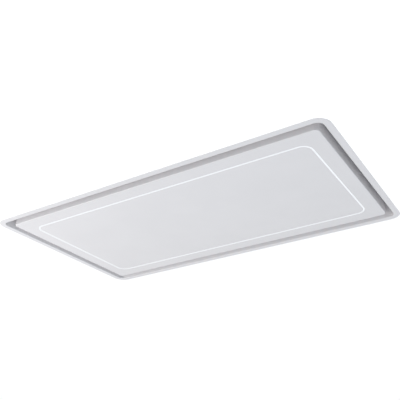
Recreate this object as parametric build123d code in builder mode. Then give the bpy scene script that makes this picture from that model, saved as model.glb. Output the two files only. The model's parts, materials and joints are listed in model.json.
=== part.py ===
"""Ceiling range hood with a flush perimeter-suction panel, a light line and a built-in blower.

X runs along the hood, Y across it (the cook stands on the -Y side) and Z points up. The origin is
the centre of the four hanging holes, in the plane where the hangers meet the building's ceiling.
"""
from build123d import *
from math import atan2, cos, degrees, radians, sin, sqrt
import os

os.makedirs("parts", exist_ok=True)

# ---------------------------------------------------------------- driving sizes, millimetres
# Trim frame
LENGTH = 910.0
WIDTH = 510.0
CORNER_R = 31.0
FLANGE = 15.0
FRAME_SHEET = 1.2
SEAM = 0.2
RECESS_DEPTH = 66.0
LIP = 14.0
FLANGE_EDGE_R = 0.5
FLANGE_BEND_R = 1.0

# Panel
END_GAP = 16.0
SIDE_GAP = 20.5
PANEL_CORNER_R = 11.5
PANEL_DEPTH = 34.0
PANEL_SHEET = 1.0
PANEL_EDGE_R = 1.4
PANEL_RIM = 10.0
LIGHT_INSET = 37.75
SIDE_INSET = 40.8
LIGHT_LINE = 3.0
LIGHT_CORNER_R = 23.5
LINE_PLAY = 0.15
CHANNEL_WIDTH = 16.0
CHANNEL_HEIGHT = 16.0
CHANNEL_FOOT = 6.0
DIFFUSER_BASE = 2.5
STRIP_WIDTH = 10.0
STRIP_THICK = 0.6
CHIP = 3.0
CHIP_PITCH = 30.0
RIB_HEIGHT = 2.5
RIB_WIDTH = 14.0
RIB_TAPER = 30.0

# Panel hinge
HINGE_FROM_END = 124.0
HINGE_INSET = 26.0
HINGE_RISE = 30.0
ARM_THICK = 3.0
ARM_WIDTH = 16.0
ARM_FOOT = 26.0
CHEEK_THICK = 2.0
CHEEK_PLAY = 0.4
LEAF_BASE = 36.0
PIN_R = 3.0
PIN_HEAD = 1.5
RUNNING_PLAY = 0.05
PRESS_PLAY = 0.02

# Panel catches
CATCH_FROM_HINGE = 50.0
MAGNET_LENGTH = 26.0
MAGNET_WIDTH = 8.0
MAGNET_HEIGHT = 6.0
STRIKE_THICK = 1.5
POST_SHEET = 2.0
POST_FOOT = 20.0

# Light contact
CONTACT_Y = 120.0
CONTACT_LENGTH = 28.0
CONTACT_WIDTH = 18.0
PAD_THICK = 2.0
CONTACT_PIN_R = 1.2
CONTACT_PITCH = 8.0

# Filter deck, filters and their latches
DECK_SHEET = 1.2
FILTER_STRIP = 60.0
FILTER_END_GAP = 26.0
FILTER_SIDE_GAP = 15.5
FILTER_HEIGHT = 11.0
FILTER_RIM = 14.0
DECK_OVERLAP = 10.0
FILTER_CORNER_R = 6.0
MESH_HEIGHT = 5.0
MESH_PITCH = 12.0
MESH_SHEET = 0.8
TONGUE_WIDTH = 28.0
TONGUE_THICK = 2.0
TONGUE_LENGTH = 37.0
LATCH_TRAVEL = 6.0
LATCH_GRIP = 5.0
LATCH_PLAY = 0.3
SPRING_LENGTH = 18.0
SPRING_WIRE = 0.8
RAIL_BITE = 8.0
RAIL_SHEET = 1.2
KEEPER_STEP = 2.0

# Master switch
SWITCH_Y = -60.0
SWITCH_LENGTH = 22.0
SWITCH_WIDTH = 30.0
SWITCH_FRAME = 3.0
ROCKER_TILT = 8.0
ROCKER_AXLE_R = 1.5

# Housing
HOUSING_SHEET = 1.2
SEAT_GAP = 0.3
PAN_CLEAR_OF_UNDERSIDE = 24.0
PLENUM_HEIGHT = 42.0
END_LEDGE = 197.7
SIDE_LEDGE = 42.7
BOX_MARGIN = 7.3
BOX_FLANGE = 12.0
BOX_CORNER_R = 8.0
BOX_CEILING_GAP = 26.0

# Hangers
HANG_INSET_X = 42.7
HANG_INSET_Y = 52.7
HANG_HOLE_R = 4.5
HANG_SLOT = 20.0
HANGER_SHEET = 2.5
HANGER_WIDTH = 44.0
HANGER_DEPTH = 34.0
HANGER_SIDE = 14.0

# Duct outlet and dampers
DUCT_R = 74.5
DUCT_LENGTH = 90.0
DUCT_SHEET = 1.2
DUCT_PLATE_SIDE = 17.5
DUCT_PLATE_TOP = 3.5
DUCT_SCREW_INSET = 8.0
SPINDLE_OFFSET = 12.0
SPINDLE_R = 2.0
SLEEVE_R = 3.6
SLEEVE = 28.0
SLEEVE_GAP = 0.5
DAMPER_SPRING = 9.0
FLAP_THICK = 1.5
FLAP_CLEAR = 0.8

# Blower
SCROLL_CLEAR = 19.3
SCROLL_SHEET = 1.2
SCROLL_R = 118.0
SCROLL_STEP = 18.0
TONGUE_ANGLE = -40.0
SCROLL_RIM = 11.0
INLET_R = 80.0
INLET_LIP = 6.0
IMPELLER_R = 95.0
IMPELLER_CLEAR = 12.5
BLADES = 36
BLADE_THICK = 1.0
BLADE_DEPTH = 14.0
HUB_R = 11.0
HUB_HEIGHT = 16.0
SHAFT_R = 4.0
MOTOR_R = 46.0
MOTOR_GAP = 2.0
MOUNT_R = 8.0
MOUNT_MARGIN = 9.8
BRACKET_SHEET = 2.0
BRACKET_ARM = 16.0
OUTLET_RUN = 200.0

# Control box
CONTROL_LENGTH = 120.0
CONTROL_WIDTH = 200.0
CONTROL_HEIGHT = 50.0
CONTROL_SHEET = 1.0
CONTROL_INSET = 37.7
TERMINAL_LENGTH = 18.0
TERMINAL_WIDTH = 60.0
TERMINAL_HEIGHT = 20.0
DRIVER_LENGTH = 42.0
DRIVER_WIDTH = 150.0
DRIVER_HEIGHT = 28.0
CABLE_R = 4.5
GLAND_R = 13.0
GLAND_NECK_R = 10.0
GLAND_NOSE = 16.0
GLAND_NUT = 5.0

# Fasteners
SCREW_R = 2.0
SCREW_HEAD_R = 3.8
SCREW_HEAD = 2.0
SCREW_PLAY = 0.2

# ---------------------------------------------------------------- places worked out from the sizes
BOX_HEIGHT = 2 * (DUCT_R + BOX_MARGIN)
HEIGHT = RECESS_DEPTH + DECK_SHEET + PLENUM_HEIGHT + HOUSING_SHEET + BOX_HEIGHT + BOX_CEILING_GAP
UNDERSIDE = -HEIGHT
OPENING_X = LENGTH - 2 * FLANGE
OPENING_Y = WIDTH - 2 * FLANGE
OPENING_R = CORNER_R - FLANGE
RECESS_TOP = UNDERSIDE + RECESS_DEPTH
DECK_TOP = RECESS_TOP + DECK_SHEET
PANEL_X = OPENING_X - 2 * END_GAP
PANEL_Y = OPENING_Y - 2 * SIDE_GAP
PANEL_TOP = UNDERSIDE + PANEL_DEPTH
LINE_X = PANEL_X - 2 * LIGHT_INSET
LINE_Y = PANEL_Y - 2 * SIDE_INSET
FACE_BACK = UNDERSIDE + PANEL_SHEET
COVER_BOTTOM = FACE_BACK + CHANNEL_HEIGHT
COVER_TOP = COVER_BOTTOM + PANEL_SHEET
HINGE_X = PANEL_X / 2 - HINGE_FROM_END
HINGE_Y = PANEL_Y / 2 - HINGE_INSET
HINGE_Z = UNDERSIDE + HINGE_RISE
CATCH_X = HINGE_X - CATCH_FROM_HINGE
CATCH_Y = -PANEL_Y / 2 + PANEL_RIM / 2 + PANEL_SHEET / 2
MAGNET_BOTTOM = PANEL_TOP + STRIKE_THICK + SEAT_GAP
MAGNET_TOP = MAGNET_BOTTOM + MAGNET_HEIGHT
FILTER_LENGTH = OPENING_X / 2 - LIP - FILTER_END_GAP - FILTER_STRIP / 2
FILTER_WIDTH = 2 * (HINGE_Y - ARM_WIDTH / 2 - FILTER_SIDE_GAP)
FILTER_X = (FILTER_STRIP + FILTER_LENGTH) / 2
FILTER_BOTTOM = RECESS_TOP - FILTER_HEIGHT
HOLE_R = SCREW_R + SCREW_PLAY
PAN_X = OPENING_X + 2 * (FRAME_SHEET + SEAT_GAP + HOUSING_SHEET)
PAN_Y = OPENING_Y + 2 * (FRAME_SHEET + SEAT_GAP + HOUSING_SHEET)
PAN_R = OPENING_R + FRAME_SHEET + SEAT_GAP + HOUSING_SHEET
PAN_BOTTOM = UNDERSIDE + PAN_CLEAR_OF_UNDERSIDE
LEDGE = DECK_TOP + PLENUM_HEIGHT + HOUSING_SHEET
BOX_TOP = -BOX_CEILING_GAP
BOX_LENGTH = PAN_X - 2 * END_LEDGE
BOX_WIDTH = PAN_Y - 2 * SIDE_LEDGE
HANG_X = PAN_X / 2 - HANG_INSET_X
HANG_Y = PAN_Y / 2 - HANG_INSET_Y
DUCT_Z = (LEDGE + BOX_TOP) / 2
DUCT_PLATE_WIDTH = 2 * (DUCT_R + DUCT_PLATE_SIDE)
DUCT_PLATE_HEIGHT = 2 * (DUCT_R + DUCT_PLATE_TOP)
SCROLL_MID = DUCT_Z
SCROLL_HEIGHT = BOX_HEIGHT - 2 * SCROLL_CLEAR
IMPELLER_HEIGHT = SCROLL_HEIGHT - 2 * IMPELLER_CLEAR
SCROLL_TOP = SCROLL_MID + SCROLL_HEIGHT / 2
OUTLET_X = BOX_LENGTH / 2 - HOUSING_SHEET
BLOWER_X = OUTLET_X - OUTLET_RUN
BLOWER_Y = SCROLL_STEP
SPINDLE_X = BOX_LENGTH / 2 + DUCT_SHEET + SPINDLE_OFFSET

# Where the same screws fasten things: deck to lip, housing walls to frame, feet to ledge
DECK_SCREWS = [
    (side * (OPENING_X / 2 - LIP / 2), y) for side in (-1, 1) for y in (-OPENING_Y / 4, OPENING_Y / 4)
] + [
    (x, side * (OPENING_Y / 2 - LIP / 2))
    for side in (-1, 1)
    for x in (-OPENING_X * 0.42, -OPENING_X * 0.14, OPENING_X * 0.14, OPENING_X * 0.42)
]
WALL_SCREWS_X = [-OPENING_X * 0.4, 0.0, OPENING_X * 0.4]
WALL_SCREW_Z = (PAN_BOTTOM + RECESS_TOP - FRAME_SHEET) / 2
BOX_SCREWS = [
    (x, side * (BOX_WIDTH + BOX_FLANGE) / 2)
    for side in (-1, 1)
    for x in (-BOX_LENGTH * 0.4, 0.0, BOX_LENGTH * 0.4)
]
HANGERS = [(x, y) for x in (-HANG_X, HANG_X) for y in (-HANG_Y, HANG_Y)]
HANGER_SCREWS = [(x + side * HANGER_WIDTH / 4, y) for x, y in HANGERS for side in (-1, 1)]
DUCT_Y = BLOWER_Y - (SCROLL_STEP / 2 + SCROLL_R + 2 * SCROLL_STEP) / 2 - (
    (SCROLL_R - SCROLL_STEP) * sin(radians(-TONGUE_ANGLE)) - SCROLL_STEP / 2
) / 2
DUCT_SCREWS = [
    (
        DUCT_Y + u * (DUCT_PLATE_WIDTH / 2 - DUCT_SCREW_INSET),
        DUCT_Z + v * (DUCT_PLATE_HEIGHT / 2 - DUCT_SCREW_INSET),
    )
    for u in (-1, 1)
    for v in (-1, 1)
]
HINGE_SCREWS = [
    (side * HINGE_X + dx, HINGE_Y) for side in (-1, 1) for dx in (ARM_FOOT * 0.35, ARM_FOOT * 0.8)
]
POST_SCREWS = [(side * CATCH_X, CATCH_Y + MAGNET_WIDTH / 2 + POST_FOOT * 0.65) for side in (-1, 1)]


# ---------------------------------------------------------------- trim frame and housing
# The frame's rings are straight strips and rounded corners, parted by hairline welded seams.
def seams():
    """Return the thin slots that part a ring where its straight sides meet its corners."""
    with BuildSketch() as slots:
        with GridLocations(OPENING_X - 2 * OPENING_R, 0, 2, 1):
            Rectangle(SEAM, WIDTH)
        with GridLocations(0, OPENING_Y - 2 * OPENING_R, 1, 2):
            Rectangle(LENGTH, SEAM)
    return slots.sketch


# Flat flange that laps the ceiling, welded round the foot of the recess wall.
WALL_X = OPENING_X + 2 * FRAME_SHEET
WALL_Y = OPENING_Y + 2 * FRAME_SHEET
with BuildPart() as trim_flange:
    with BuildSketch(Plane.XY.offset(UNDERSIDE)):
        RectangleRounded(LENGTH, WIDTH, CORNER_R)
        RectangleRounded(WALL_X, WALL_Y, OPENING_R + FRAME_SHEET, mode=Mode.SUBTRACT)
    extrude(amount=FRAME_SHEET)
    underside = trim_flange.faces().sort_by(Axis.Z)[0]
    fillet(underside.outer_wire().edges(), min(FLANGE_EDGE_R, FRAME_SHEET * 0.8))
    extrude(seams(), amount=HEIGHT, both=True, mode=Mode.SUBTRACT)
trim_flange.part.label = "trim_flange"
export_step(trim_flange.part, "parts/trim_flange.step")

# Wall of the recess: an upright band with a rounded lower edge, which carries the deck.
with BuildPart() as recess_wall:
    with BuildSketch(Plane.XY.offset(UNDERSIDE)):
        RectangleRounded(WALL_X, WALL_Y, OPENING_R + FRAME_SHEET)
        RectangleRounded(OPENING_X, OPENING_Y, OPENING_R, mode=Mode.SUBTRACT)
    extrude(amount=RECESS_DEPTH)
    underside = recess_wall.faces().sort_by(Axis.Z)[0]
    fillet(underside.inner_wires()[0].edges(), min(FLANGE_BEND_R, FRAME_SHEET * 0.9))
    with BuildSketch(Plane.XZ.offset(-PAN_Y / 2)):
        with Locations(*[(x, WALL_SCREW_Z) for x in WALL_SCREWS_X]):
            Circle(HOLE_R)
    extrude(amount=PAN_Y, mode=Mode.SUBTRACT)
    extrude(seams(), amount=HEIGHT, both=True, mode=Mode.SUBTRACT)
recess_wall.part.label = "recess_wall"
export_step(recess_wall.part, "parts/recess_wall.step")

# Lip inside the wall's top: four flat strips that butt at the corners and take the deck's screws.
with BuildPart() as recess_lip:
    with BuildSketch(Plane.XY.offset(RECESS_TOP - FRAME_SHEET)):
        with GridLocations(0, OPENING_Y - LIP, 1, 2):
            Rectangle(OPENING_X - 2 * OPENING_R, LIP)
        with GridLocations(OPENING_X - LIP, 0, 2, 1):
            Rectangle(LIP, OPENING_Y - 2 * OPENING_R)
        with Locations(*DECK_SCREWS):
            Circle(HOLE_R, mode=Mode.SUBTRACT)
    extrude(amount=FRAME_SHEET)
recess_lip.part.label = "recess_lip"
export_step(recess_lip.part, "parts/recess_lip.step")

# Pressed ribs stiffen the large sheets: a round-ended ridge outside, hollow from the back.
def pressed_ribs(plane, places, length, rotation, sheet):
    """Return ribs on the plane's outer side, and the hollows that they leave in the sheet behind."""
    with BuildPart() as ridges:
        with BuildSketch(plane):
            with Locations(*places):
                SlotOverall(length, RIB_WIDTH, rotation=rotation)
        extrude(amount=RIB_HEIGHT, taper=RIB_TAPER)
    with BuildPart() as hollows:
        with BuildSketch(plane.offset(-sheet)):
            with Locations(*places):
                SlotOverall(length - 2 * sheet, RIB_WIDTH - 2 * sheet, rotation=rotation)
        extrude(amount=RIB_HEIGHT, taper=RIB_TAPER)
    return ridges.part, hollows.part


# Lower housing: an upright band outside the recess wall, and a top sheet open under the motor box.
with BuildPart() as plenum_walls:
    with BuildSketch(Plane.XY.offset(PAN_BOTTOM)):
        RectangleRounded(PAN_X, PAN_Y, PAN_R)
        RectangleRounded(
            PAN_X - 2 * HOUSING_SHEET, PAN_Y - 2 * HOUSING_SHEET, PAN_R - HOUSING_SHEET, mode=Mode.SUBTRACT
        )
    extrude(amount=LEDGE - HOUSING_SHEET - PAN_BOTTOM)
    with BuildSketch(Plane.XZ.offset(-PAN_Y / 2)):
        with Locations(*[(x, WALL_SCREW_Z) for x in WALL_SCREWS_X]):
            Circle(HOLE_R)
    extrude(amount=PAN_Y, mode=Mode.SUBTRACT)
    extrude(seams(), amount=HEIGHT, both=True, mode=Mode.SUBTRACT)
plenum_walls.part.label = "plenum_walls"
export_step(plenum_walls.part, "parts/plenum_walls.step")

TOP_RIBS_X = [(BOX_LENGTH / 2 + END_LEDGE * share, 0) for share in (0.3, 0.5, 0.7)]
with BuildPart() as plenum_top:
    with BuildSketch(Plane.XY.offset(LEDGE - HOUSING_SHEET)):
        RectangleRounded(PAN_X, PAN_Y, PAN_R)
        Rectangle(BOX_LENGTH - 2 * HOUSING_SHEET, BOX_WIDTH - 2 * HOUSING_SHEET, mode=Mode.SUBTRACT)
        with Locations(*BOX_SCREWS, *HANGER_SCREWS):
            Circle(HOLE_R, mode=Mode.SUBTRACT)
    extrude(amount=HOUSING_SHEET)
    ribs, rib_hollows = pressed_ribs(Plane.XY.offset(LEDGE), TOP_RIBS_X, BOX_WIDTH * 0.7, 90, HOUSING_SHEET)
    add(ribs)
    add(rib_hollows, mode=Mode.SUBTRACT)
plenum_top.part.label = "plenum_top"
export_step(plenum_top.part, "parts/plenum_top.step")

# Upper housing: a flanged sheet box that stands on the ledge of the pan and holds the blower.
BOX_FRONT = Plane(origin=(0, -BOX_WIDTH / 2, 0), x_dir=(1, 0, 0), z_dir=(0, -1, 0))
BOX_REAR = Plane(origin=(0, BOX_WIDTH / 2, 0), x_dir=(1, 0, 0), z_dir=(0, 1, 0))
with BuildPart() as motor_box:
    with BuildSketch(Plane.XY.offset(LEDGE)):
        RectangleRounded(BOX_LENGTH, BOX_WIDTH, BOX_CORNER_R)
    extrude(amount=BOX_TOP - LEDGE)
    with BuildSketch(Plane.XY.offset(LEDGE)):
        RectangleRounded(BOX_LENGTH + 2 * BOX_FLANGE, BOX_WIDTH + 2 * BOX_FLANGE, BOX_CORNER_R)
    extrude(amount=HOUSING_SHEET)
    with BuildSketch(Plane.XY.offset(LEDGE)):
        RectangleRounded(
            BOX_LENGTH - 2 * HOUSING_SHEET, BOX_WIDTH - 2 * HOUSING_SHEET, BOX_CORNER_R - HOUSING_SHEET
        )
    extrude(amount=BOX_TOP - HOUSING_SHEET - LEDGE, mode=Mode.SUBTRACT)
    with BuildSketch(Plane.XY.offset(LEDGE)):
        with Locations(*BOX_SCREWS):
            Circle(HOLE_R)
    extrude(amount=HOUSING_SHEET, mode=Mode.SUBTRACT)
    with BuildSketch(Plane.YZ.offset(BOX_LENGTH / 2 - HOUSING_SHEET)):
        with Locations((DUCT_Y, DUCT_Z)):
            Circle(DUCT_R - DUCT_SHEET)
        with Locations(*DUCT_SCREWS):
            Circle(HOLE_R)
    extrude(amount=HOUSING_SHEET, mode=Mode.SUBTRACT)
    for plane, places in (
        (Plane.XY.offset(BOX_TOP), [(0, share * BOX_WIDTH) for share in (-0.36, 0, 0.36)]),
        (BOX_FRONT, [(0, DUCT_Z + share * BOX_HEIGHT) for share in (-0.2, 0.2)]),
        (BOX_REAR, [(0, -DUCT_Z + share * BOX_HEIGHT) for share in (-0.2, 0.2)]),
    ):
        ribs, rib_hollows = pressed_ribs(plane, places, BOX_LENGTH * 0.8, 0, HOUSING_SHEET)
        add(ribs)
        add(rib_hollows, mode=Mode.SUBTRACT)
motor_box.part.label = "motor_box"
export_step(motor_box.part, "parts/motor_box.step")

# Deck above the recess, with the two filter openings and the cut-out of the master switch.
FILTER_CENTRES = {"left": -FILTER_X, "right": FILTER_X}
with BuildPart() as filter_deck:
    with BuildSketch(Plane.XY.offset(RECESS_TOP)):
        RectangleRounded(OPENING_X, OPENING_Y, OPENING_R)
        with Locations(*[(x, 0) for x in FILTER_CENTRES.values()]):
            RectangleRounded(
                FILTER_LENGTH - 2 * DECK_OVERLAP,
                FILTER_WIDTH - 2 * DECK_OVERLAP,
                FILTER_CORNER_R,
                mode=Mode.SUBTRACT,
            )
        with Locations(*DECK_SCREWS, *HINGE_SCREWS, *POST_SCREWS):
            Circle(HOLE_R, mode=Mode.SUBTRACT)
        with Locations((0, SWITCH_Y)):
            Rectangle(SWITCH_LENGTH, SWITCH_WIDTH, mode=Mode.SUBTRACT)
    extrude(amount=DECK_SHEET)
filter_deck.part.label = "filter_deck"
export_step(filter_deck.part, "parts/filter_deck.step")

# Angle rails welded under the deck: one behind each filter, and a short keeper before its latch.
RAIL_Y = FILTER_WIDTH / 2 + SEAT_GAP
KEEPER_Y = FILTER_WIDTH / 2 + LATCH_TRAVEL + 2 * LATCH_PLAY + KEEPER_STEP
RAIL_LOW = FILTER_BOTTOM - SEAT_GAP - RAIL_SHEET
RAILS = ((1, RAIL_Y, FILTER_LENGTH * 0.4), (-1, -KEEPER_Y, TONGUE_WIDTH * 0.8))
with BuildPart() as filter_rails:
    for centre in FILTER_CENTRES.values():
        for rear, web_y, half_length in RAILS:
            with BuildSketch(Plane.YZ.offset(centre)):
                with Locations((web_y + rear * RAIL_SHEET / 2, (RAIL_LOW + RECESS_TOP) / 2)):
                    Rectangle(RAIL_SHEET, RECESS_TOP - RAIL_LOW)
                with Locations((web_y + rear * (RAIL_SHEET - RAIL_BITE / 2), RAIL_LOW + RAIL_SHEET / 2)):
                    Rectangle(RAIL_BITE, RAIL_SHEET)
            extrude(amount=half_length, both=True)
filter_rails.part.label = "filter_rails"
export_step(filter_rails.part, "parts/filter_rails.step")

# Four hangers: a channel section post with a foot on the ledge and a slotted head at the ceiling.
with BuildPart() as hanger_brackets:
    for level in (LEDGE, -HANGER_SHEET):
        with BuildSketch(Plane.XY.offset(level)):
            with Locations(*HANGERS):
                Rectangle(HANGER_WIDTH, HANGER_DEPTH)
        extrude(amount=HANGER_SHEET)
    for hang_x, hang_y in HANGERS:
        inward = -1 if hang_y > 0 else 1
        with BuildSketch(Plane.XY.offset(LEDGE)):
            with Locations((hang_x, hang_y + inward * (HANGER_DEPTH - HANGER_SHEET) / 2)):
                Rectangle(HANGER_WIDTH, HANGER_SHEET)
            for side in (-1, 1):
                side_x = hang_x + side * (HANGER_WIDTH - HANGER_SHEET) / 2
                with Locations((side_x, hang_y + inward * (HANGER_DEPTH - HANGER_SIDE) / 2)):
                    Rectangle(HANGER_SHEET, HANGER_SIDE)
        extrude(amount=-LEDGE)
    with BuildSketch(Plane.XY.offset(-HANGER_SHEET)):
        with Locations(*HANGERS):
            SlotOverall(HANG_SLOT, 2 * HANG_HOLE_R)
    extrude(amount=HANGER_SHEET, mode=Mode.SUBTRACT)
    with BuildSketch(Plane.XY.offset(LEDGE)):
        with Locations(*HANGER_SCREWS):
            Circle(HOLE_R)
    extrude(amount=HANGER_SHEET, mode=Mode.SUBTRACT)
hanger_brackets.part.label = "hanger_brackets"
export_step(hanger_brackets.part, "parts/hanger_brackets.step")


# ---------------------------------------------------------------- duct outlet and dampers
# Outlet plate screwed over the hole in the motor box.
with BuildPart() as outlet_plate:
    with BuildSketch(Plane.YZ.offset(BOX_LENGTH / 2)):
        with Locations((DUCT_Y, DUCT_Z)):
            RectangleRounded(DUCT_PLATE_WIDTH, DUCT_PLATE_HEIGHT, BOX_CORNER_R)
            Circle(DUCT_R - DUCT_SHEET, mode=Mode.SUBTRACT)
        with Locations(*DUCT_SCREWS):
            Circle(HOLE_R, mode=Mode.SUBTRACT)
    extrude(amount=DUCT_SHEET)
outlet_plate.part.label = "outlet_plate"
export_step(outlet_plate.part, "parts/outlet_plate.step")

# Round collar welded to the plate, which the duct slides over; it holds the damper spindle.
with BuildPart() as outlet_collar:
    with BuildSketch(Plane.YZ.offset(BOX_LENGTH / 2 + DUCT_SHEET)):
        with Locations((DUCT_Y, DUCT_Z)):
            Circle(DUCT_R)
            Circle(DUCT_R - DUCT_SHEET, mode=Mode.SUBTRACT)
    extrude(amount=DUCT_LENGTH - DUCT_SHEET)
    with BuildSketch(Plane.XY.offset(DUCT_Z)):
        with Locations((SPINDLE_X, DUCT_Y)):
            Circle(SPINDLE_R + PRESS_PLAY)
    extrude(amount=DUCT_R, both=True, mode=Mode.SUBTRACT)
outlet_collar.part.label = "outlet_collar"
export_step(outlet_collar.part, "parts/outlet_collar.step")

# Upright spindle across the collar, flush with its outside so that the duct still slides on.
with BuildPart() as damper_spindle:
    with BuildSketch(Plane.XY.offset(DUCT_Z)):
        with Locations((SPINDLE_X, DUCT_Y)):
            Circle(SPINDLE_R)
    extrude(amount=DUCT_R - DUCT_SHEET / 2, both=True)
damper_spindle.part.label = "damper_spindle"
export_step(damper_spindle.part, "parts/damper_spindle.step")

# Close-wound torsion spring between the two middle sleeves, drawn as touching turns.
with BuildPart() as damper_spring:
    with BuildSketch(Plane.XZ.offset(-DUCT_Y)):
        turns = int(DAMPER_SPRING / SPRING_WIRE)
        with Locations((SPINDLE_X + SPINDLE_R + SEAT_GAP + SPRING_WIRE / 2, DUCT_Z)):
            Rectangle(SPRING_WIRE / 2, (turns - 1) * SPRING_WIRE)
            with GridLocations(0, SPRING_WIRE, 1, turns):
                Circle(SPRING_WIRE * 0.55)
    revolve(axis=Axis((SPINDLE_X, DUCT_Y, DUCT_Z), (0, 0, 1)))
damper_spring.part.label = "damper_spring"
export_step(damper_spring.part, "parts/damper_spring.step")

# Two half-disc flaps that share the spindle, each on two sleeves; the sleeves take turns along it.
SLEEVE_STEP = SLEEVE + SLEEVE_GAP
SLEEVE_START = (DAMPER_SPRING + SLEEVE) / 2 + SLEEVE_GAP
FLAP_SLEEVES = {
    "a": (1, (SLEEVE_START, -SLEEVE_START - SLEEVE_STEP)),
    "b": (-1, (-SLEEVE_START, SLEEVE_START + SLEEVE_STEP)),
}
FLAP_EDGE = SLEEVE_R + FLAP_CLEAR
for flap, (side, sleeves) in FLAP_SLEEVES.items():
    with BuildPart() as damper_flap:
        with BuildSketch(Plane.YZ.offset(SPINDLE_X)):
            with Locations((DUCT_Y, DUCT_Z)):
                Circle(DUCT_R - DUCT_SHEET - FLAP_CLEAR)
            with Locations((DUCT_Y + side * (FLAP_EDGE - DUCT_R), DUCT_Z)):
                Rectangle(2 * DUCT_R, 2 * DUCT_R, mode=Mode.SUBTRACT)
            with Locations(*[(DUCT_Y + side * SLEEVE_R, DUCT_Z + z) for z in sleeves]):
                Rectangle(2 * FLAP_CLEAR, SLEEVE)
        extrude(amount=FLAP_THICK / 2, both=True)
        with BuildSketch(Plane.XY.offset(DUCT_Z)):
            with Locations((SPINDLE_X, DUCT_Y)):
                Circle(SLEEVE_R)
        extrude(amount=DUCT_R, both=True, mode=Mode.SUBTRACT)
    damper_flap.part.label = f"damper_flap_{flap}"
    export_step(damper_flap.part, f"parts/damper_flap_{flap}.step")

    with BuildPart() as damper_sleeves:
        for sleeve_z in sleeves:
            with BuildSketch(Plane.XY.offset(DUCT_Z + sleeve_z)):
                with Locations((SPINDLE_X, DUCT_Y)):
                    Circle(SLEEVE_R)
                    Circle(SPINDLE_R + RUNNING_PLAY, mode=Mode.SUBTRACT)
            extrude(amount=SLEEVE / 2, both=True)
    damper_sleeves.part.label = f"damper_sleeves_{flap}"
    export_step(damper_sleeves.part, f"parts/damper_sleeves_{flap}.step")


# ---------------------------------------------------------------- blower
# The scroll's outline is four tangent arcs about the corners of a small square, and an outlet run.
def scroll_outline(grow, reach):
    """Return the spiral outline, grown outwards, with its outlet ending at the plane x = reach."""
    half = SCROLL_STEP / 2
    tongue_r = SCROLL_R - SCROLL_STEP + grow
    wall_y = half + (SCROLL_R - SCROLL_STEP) * sin(radians(TONGUE_ANGLE)) + grow
    tongue_x = half + sqrt(tongue_r**2 - (wall_y - half) ** 2)
    start = degrees(atan2(wall_y - half, tongue_x - half))
    last_r = SCROLL_R + 2 * SCROLL_STEP + grow
    with BuildSketch(Plane(origin=(BLOWER_X, BLOWER_Y, SCROLL_MID))) as outline:
        with BuildLine():
            CenterArc((half, half), tongue_r, start, -start)
            CenterArc((-half, half), SCROLL_R + grow, 0, 90)
            CenterArc((-half, -half), SCROLL_R + SCROLL_STEP + grow, 90, 90)
            CenterArc((half, -half), last_r, 180, 90)
            Polyline(
                (half, -half - last_r),
                (reach - BLOWER_X, -half - last_r),
                (reach - BLOWER_X, wall_y),
                (tongue_x, wall_y),
            )
        make_face()
    return outline.sketch


# Each half of the scroll is a floor with a rolled inlet, half the wall, and a rim that is screwed.
RIM_MIDDLE = SCROLL_RIM * 0.55
SCROLL_SCREWS = [
    (BLOWER_X, BLOWER_Y + SCROLL_R + SCROLL_STEP / 2 + RIM_MIDDLE),
    (BLOWER_X - SCROLL_R - 1.5 * SCROLL_STEP - RIM_MIDDLE, BLOWER_Y),
    (BLOWER_X + OUTLET_RUN * 0.6, BLOWER_Y - SCROLL_R - 2.5 * SCROLL_STEP - RIM_MIDDLE),
]
for half_name, up in (("lower", -1), ("upper", 1)):
    with BuildPart() as scroll_half:
        extrude(scroll_outline(SCROLL_SHEET, OUTLET_X), amount=up * SCROLL_HEIGHT / 2)
        extrude(scroll_outline(SCROLL_RIM, OUTLET_X), amount=up * SCROLL_SHEET)
        hollow = SCROLL_HEIGHT / 2 - SCROLL_SHEET
        extrude(scroll_outline(0, OUTLET_X), amount=up * hollow, mode=Mode.SUBTRACT)
        with BuildSketch(Plane.XY.offset(SCROLL_MID + up * (SCROLL_HEIGHT / 2 - INLET_LIP))):
            with Locations((BLOWER_X, BLOWER_Y)):
                Circle(INLET_R + SCROLL_SHEET)
        extrude(amount=up * INLET_LIP)
        with BuildSketch(Plane.XY.offset(SCROLL_MID + up * (SCROLL_HEIGHT / 2 - INLET_LIP))):
            with Locations((BLOWER_X, BLOWER_Y)):
                Circle(INLET_R)
        extrude(amount=up * INLET_LIP, mode=Mode.SUBTRACT)
        with BuildSketch(Plane.XY.offset(SCROLL_MID)):
            with Locations(*SCROLL_SCREWS):
                Circle(HOLE_R)
        extrude(amount=up * SCROLL_SHEET, mode=Mode.SUBTRACT)
    scroll_half.part.label = f"scroll_{half_name}"
    export_step(scroll_half.part, f"parts/scroll_{half_name}.step")

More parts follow.
